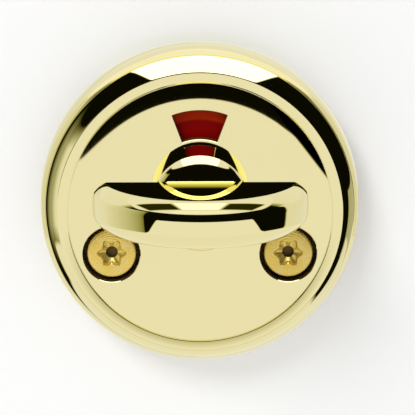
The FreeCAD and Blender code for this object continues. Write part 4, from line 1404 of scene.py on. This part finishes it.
def rose_shade(finish, spot):
    """How much of its reflected light a spot on the rose loses to painted shade: a dark reflection by the
    face's right edge, and shade on the band below the middle.
    """
    beyond = finish.maths("MULTIPLY_ADD", spot["X"], DARK_REFLECTION_SIDE[0], -DARK_REFLECTION_FROM)
    beyond = finish.maths("MULTIPLY_ADD", spot["Z"], DARK_REFLECTION_SIDE[1], beyond)
    painted_dark_reflection = finish.maths("DIVIDE", beyond, DARK_REFLECTION_SOFT, clamp=True)
    radius = finish.reach(spot["X"], finish.maths("SUBTRACT", spot["Z"], FACE_MIDDLE))
    in_front = finish.maths("LESS_THAN", spot["Y"], -FACE_FROM)
    on_face = finish.times(finish.maths("LESS_THAN", radius, FACE_RADIUS), in_front)
    near_groove = finish.rest(finish.ramp(radius, FACE_RADIUS, BAND_WIDTH))
    downward = finish.maths("DIVIDE", finish.maths("SUBTRACT", BAND_FROM, spot["Z"]), BAND_FADE, clamp=True)
    painted_band_shade = finish.times(near_groove, downward, BAND_SHADE, finish.rest(on_face), in_front)
    return finish.maths("MULTIPLY_ADD", painted_dark_reflection, on_face, painted_band_shade)


def rose_light(finish, way, across, up, spot):
    """The strength of what a soft mirror sees."""
    panels = panel_light(finish, across, up, ROSE_PANELS)
    light = finish.maths("MAXIMUM", panels, softbox_light(finish, way, ROSE_SOFTBOX))
    return finish.times(light, finish.rest(rose_shade(finish, spot)))


def root_light(finish, spot, deep):
    """The strength of the light that the wing's flat mirrors from the foot of the hub's end."""
    hub_end = bpy.context.scene.lock_turn.hub_front
    low = finish.maths("DIVIDE", finish.maths("SUBTRACT", ROOT_TO, spot["Z"]), ROOT_FADE, clamp=True)
    over = finish.maths("GREATER_THAN", spot["Z"], ROOT_TO - ROOT_DEPTH)
    on_end = finish.maths("COMPARE", spot["Y"], -hub_end, END_SLACK)
    return finish.times(low, over, deep, on_end)


def knob_light(finish, way, across, up, spot, deep):
    """The strength of what a sharp mirror sees: wing, hub and the rose's shoulder have cards of their own."""
    on_wing = finish.maths("LESS_THAN", spot["Y"], -WING_FROM)
    shade = finish.times(softbox_light(finish, way, WING_SHADE), on_wing)
    light = finish.times(panel_light(finish, across, up, KNOB_PANELS), finish.rest(shade))
    over_hub = softbox_light(finish, way, HUB_SOFTBOX)
    over_wing = softbox_light(finish, way, WING_SOFTBOX)
    overhead = finish.add("ShaderNodeMix", {"Factor": on_wing, 2: over_hub, 3: over_wing}).outputs[0]
    overhead = finish.maths("MAXIMUM", overhead, softbox_light(finish, way, KNOB_SOFTBOX))
    overhead = finish.times(overhead, finish.maths("LESS_THAN", spot["Y"], -HUB_FROM))
    on_shoulder = finish.times(finish.maths("GREATER_THAN", spot["Y"], -HUB_FROM), finish.rest(deep))
    beside = finish.times(panel_light(finish, across, up, SHOULDER_PANELS), on_shoulder)
    for more in (table_light(finish, across, up), overhead, root_light(finish, spot, deep), beside):
        light = finish.maths("MAXIMUM", light, more)
    return light


def dome_material():
    """Emission of the light panels, by direction from the object and by the spot that mirrors them.

    Soft mirrors see the rose's panels. Sharp mirrors, and light by way of two surfaces, see the knob's.
    """
    material, finish = empty_material("light_panels")
    ray = finish.add("ShaderNodeLightPath").outputs
    deep = finish.maths("GREATER_THAN", ray["Ray Depth"], DEEP_FROM)
    sharp = finish.maths("MAXIMUM", ray["Is Singular Ray"], deep)
    spot = mirrored_at(finish, ray["Ray Length"])
    where = finish.add("ShaderNodeVectorMath", {0: finish.coordinates()}, operation="NORMALIZE").outputs[0]
    way = finish.split(where)
    across = finish.maths("DEGREES", finish.maths("ARCTAN2", way["X"], finish.times(way["Y"], -1.0)))
    straight = finish.maths("DEGREES", finish.maths("ARCSINE", way["Z"]))
    up = finish.maths("MULTIPLY_ADD", deep, -DEEP_LIFT, straight)
    on_rose = rose_light(finish, way, across, up, spot)
    on_knob = knob_light(finish, way, across, up, spot, deep)
    more = finish.times(finish.maths("SUBTRACT", on_knob, on_rose), sharp)
    level = finish.maths("ADD", on_rose, more)
    power = finish.maths("MULTIPLY_ADD", sharp, SHARP_WARMTH, WARMTH)
    warm = finish.maths("POWER", level, power, clamp=True)
    beside_hub = finish.maths("LESS_THAN", finish.maths("ABSOLUTE", spot["X"]), GOLD_REACH)
    golden = finish.times(deep, beside_hub, finish.maths("GREATER_THAN", spot["Z"], -GOLD_DROP))
    blue = finish.times(warm, finish.maths("MULTIPLY_ADD", golden, -GOLD_LOSS, 1.0))
    tint = finish.add("ShaderNodeCombineColor", {0: 1.0, 1: 1.0, 2: blue}).outputs[0]
    strength = finish.times(level, finish.maths("MULTIPLY_ADD", golden, GOLD_GAIN, 1.0))
    light = finish.add("ShaderNodeEmission", {"Color": tint, "Strength": strength})
    out = finish.add("ShaderNodeOutputMaterial")
    finish.feed(light.outputs[0], out.inputs["Surface"])
    material.cycles.emission_sampling = "NONE"
    return material


def stage_mesh(name, fill):
    mesh = bpy.data.meshes.new(name)
    shape = bmesh.new()
    fill(shape)
    shape.to_mesh(mesh)
    shape.free()
    obj = bpy.data.objects.new(name, mesh)
    bpy.context.scene.collection.objects.link(obj)
    return obj


def only_reflected(obj):
    """Hides a piece of the stage from all but reflections."""
    obj.visible_camera = False
    obj.visible_diffuse = False
    obj.visible_shadow = False
    obj.visible_transmission = False


def build_dome(sizes):
    """A dome of light panels that only reflections see."""

    def fill(shape):
        bmesh.ops.create_uvsphere(shape, u_segments=48, v_segments=24, radius=sizes.dome_radius)

    dome = stage_mesh("light_dome", fill)
    dome.data.materials.append(dome_material())
    only_reflected(dome)


def paper_material(name, level, glow):
    """Matt white paper, lifted by a share of plain white, that lets the view from behind pass."""
    material, finish = empty_material(name)
    paper = finish.add("ShaderNodeBsdfDiffuse", {"Color": (level, level, level, 1.0)})
    white = finish.add("ShaderNodeEmission", {"Strength": 1.0})
    lifted = finish.add("ShaderNodeMixShader", {0: glow, 1: paper.outputs[0], 2: white.outputs[0]})
    clear = finish.add("ShaderNodeBsdfTransparent")
    behind = finish.add("ShaderNodeNewGeometry").outputs["Backfacing"]
    mixed = finish.add("ShaderNodeMixShader", {0: behind, 1: lifted.outputs[0], 2: clear.outputs[0]})
    out = finish.add("ShaderNodeOutputMaterial")
    finish.feed(mixed.outputs[0], out.inputs["Surface"])
    return material


# The paper: how far it reaches to the sides and up, how far the floor comes forward, and how white it is.
PAPER_REACH = 0.6
FLOOR_FRONT = -1.0
PAPER_WHITE = 0.97
# The key light, which aims at the origin: its place and its size each way.
KEY_PLACE = (-0.42, -0.75, 0.62)
KEY_SIZE = 0.35
WHITE = (1.0, 1.0, 1.0, 1.0)


def build_paper(sizes):
    """The backdrop that the rose stands on, and the floor below it."""
    side = PAPER_REACH
    low = -sizes.floor_drop
    sheets = {
        "backdrop": [(-side, 0.0, low), (side, 0.0, low), (side, 0.0, side), (-side, 0.0, side)],
        "floor": [(-side, FLOOR_FRONT, low), (side, FLOOR_FRONT, low), (side, side, low), (-side, side, low)],
    }
    for name, corners in sheets.items():
        paper = stage_mesh(name, lambda shape: shape.faces.new([shape.verts.new(c) for c in corners]))
        paper.data.materials.append(paper_material(f"{name}_paper", PAPER_WHITE, sizes.glow))
        paper.visible_glossy = False


def build_lights(sizes):
    """A soft key light from the upper left and an even fill from all round, on a white background."""
    lamp = bpy.data.lights.new("key_light", "AREA")
    lamp.shape = "RECTANGLE"
    lamp.size = KEY_SIZE
    lamp.size_y = KEY_SIZE
    lamp.energy = sizes.key_power
    key = bpy.data.objects.new("key_light", lamp)
    key.location = KEY_PLACE
    key.rotation_euler = (-key.location).to_track_quat("-Z", "Y").to_euler()
    key.visible_glossy = False
    bpy.context.scene.collection.objects.link(key)
    world = bpy.data.worlds.new("studio")
    bpy.context.scene.world = world
    world.use_nodes = True
    finish = Finish(world.node_tree)
    world.node_tree.nodes.clear()
    ray = finish.add("ShaderNodeLightPath").outputs
    seen = finish.maths("MAXIMUM", ray["Is Camera Ray"], ray["Is Transmission Ray"])
    fill = finish.add("ShaderNodeBackground", {"Color": WHITE, "Strength": sizes.fill})
    white = finish.add("ShaderNodeBackground", {"Color": WHITE, "Strength": 1.0})
    mixed = finish.add("ShaderNodeMixShader", {0: seen, 1: fill.outputs[0], 2: white.outputs[0]})
    out = finish.add("ShaderNodeOutputWorld")
    finish.feed(mixed.outputs[0], out.inputs["Surface"])


def build_camera(sizes):
    data = bpy.data.cameras.new("camera")
    data.sensor_width = 36.0
    data.lens = sizes.lens
    data.clip_start = 0.01
    camera = bpy.data.objects.new("camera", data)
    aim = Vector((sizes.aim_right, 0.0, -sizes.aim_down))
    camera.rotation_euler = (HALF_TURN / 2 - sizes.camera_elevation, 0.0, -sizes.camera_azimuth)
    back = camera.rotation_euler.to_matrix() @ Vector((0.0, 0.0, 1.0))
    camera.location = aim + back * sizes.camera_distance
    bpy.context.scene.collection.objects.link(camera)
    bpy.context.scene.camera = camera


class LOCK_OT_rose(bpy.types.Operator):
    """Build the polished rose with its window and counterbores"""

    bl_idname = "lock.rose"
    bl_label = "Rose"

    def execute(self, context):
        build_rose()
        return {"FINISHED"}


class LOCK_OT_thumb_turn(bpy.types.Operator):
    """Build the hub and the half-moon wing"""

    bl_idname = "lock.thumb_turn"
    bl_label = "Thumb turn"

    def execute(self, context):
        build_thumb_turn()
        return {"FINISHED"}


class LOCK_OT_fixing_screws(bpy.types.Operator):
    """Build both fixing screws and their threads"""

    bl_idname = "lock.fixing_screws"
    bl_label = "Fixing screws"

    def execute(self, context):
        for side, place in screw_places().items():
            build_fixing_screw(side, place)
        build_threads()
        return {"FINISHED"}


class LOCK_OT_indicator(bpy.types.Operator):
    """Paint the colour fields behind the window"""

    bl_idname = "lock.indicator"
    bl_label = "Colour fields"

    def execute(self, context):
        dress_nodes("red_field", "white_field")
        return {"FINISHED"}


class LOCK_OT_works(bpy.types.Operator):
    """Finish the back plate, the spindle and the works behind the rose"""

    bl_idname = "lock.works"
    bl_label = "Back and works"

    def execute(self, context):
        dress_nodes("zinc_plated_steel", "spring_steel", "dark_steel", "nylon")
        return {"FINISHED"}


class LOCK_OT_stage(bpy.types.Operator):
    """Set up backdrop, floor, lights and camera"""

    bl_idname = "lock.stage"
    bl_label = "Stage"

    def execute(self, context):
        sizes = context.scene.lock_stage
        build_paper(sizes)
        build_dome(sizes)
        build_lights(sizes)
        build_camera(sizes)
        context.scene.view_settings.view_transform = "Standard"
        return {"FINISHED"}


SIZE_GROUPS = {
    "lock_rose": RoseSizes,
    "lock_turn": TurnSizes,
    "lock_screws": ScrewSizes,
    "lock_colours": FinishColours,
    "lock_stage": StageSizes,
}
OPERATORS = (
    LOCK_OT_rose,
    LOCK_OT_thumb_turn,
    LOCK_OT_fixing_screws,
    LOCK_OT_indicator,
    LOCK_OT_works,
    LOCK_OT_stage,
)


class LOCK_PT_panel(bpy.types.Panel):
    """Sizes, colours and steps of the thumb turn lock"""

    bl_label = "Thumb Turn Lock"
    bl_idname = "LOCK_PT_panel"
    bl_space_type = "VIEW_3D"
    bl_region_type = "UI"
    bl_category = "Thumb Turn"

    def draw(self, context):
        for operator in OPERATORS:
            self.layout.operator(operator.bl_idname)
        for name, group in SIZE_GROUPS.items():
            box = self.layout.box()
            box.label(text=group.__doc__)
            for size in group.__annotations__:
                box.prop(getattr(context.scene, name), size)


CLASSES = (*SIZE_GROUPS.values(), *OPERATORS, LOCK_PT_panel)


def register():
    for cls in CLASSES:
        bpy.utils.register_class(cls)
    for name, group in SIZE_GROUPS.items():
        setattr(bpy.types.Scene, name, PointerProperty(type=group))


def unregister():
    for name in SIZE_GROUPS:
        delattr(bpy.types.Scene, name)
    for cls in reversed(CLASSES):
        bpy.utils.unregister_class(cls)


def main():
    register()
    bpy.ops.lock.rose()
    bpy.ops.lock.thumb_turn()
    bpy.ops.lock.fixing_screws()
    bpy.ops.lock.indicator()
    bpy.ops.lock.works()
    bpy.ops.lock.stage()


if __name__ == "__main__":
    main()
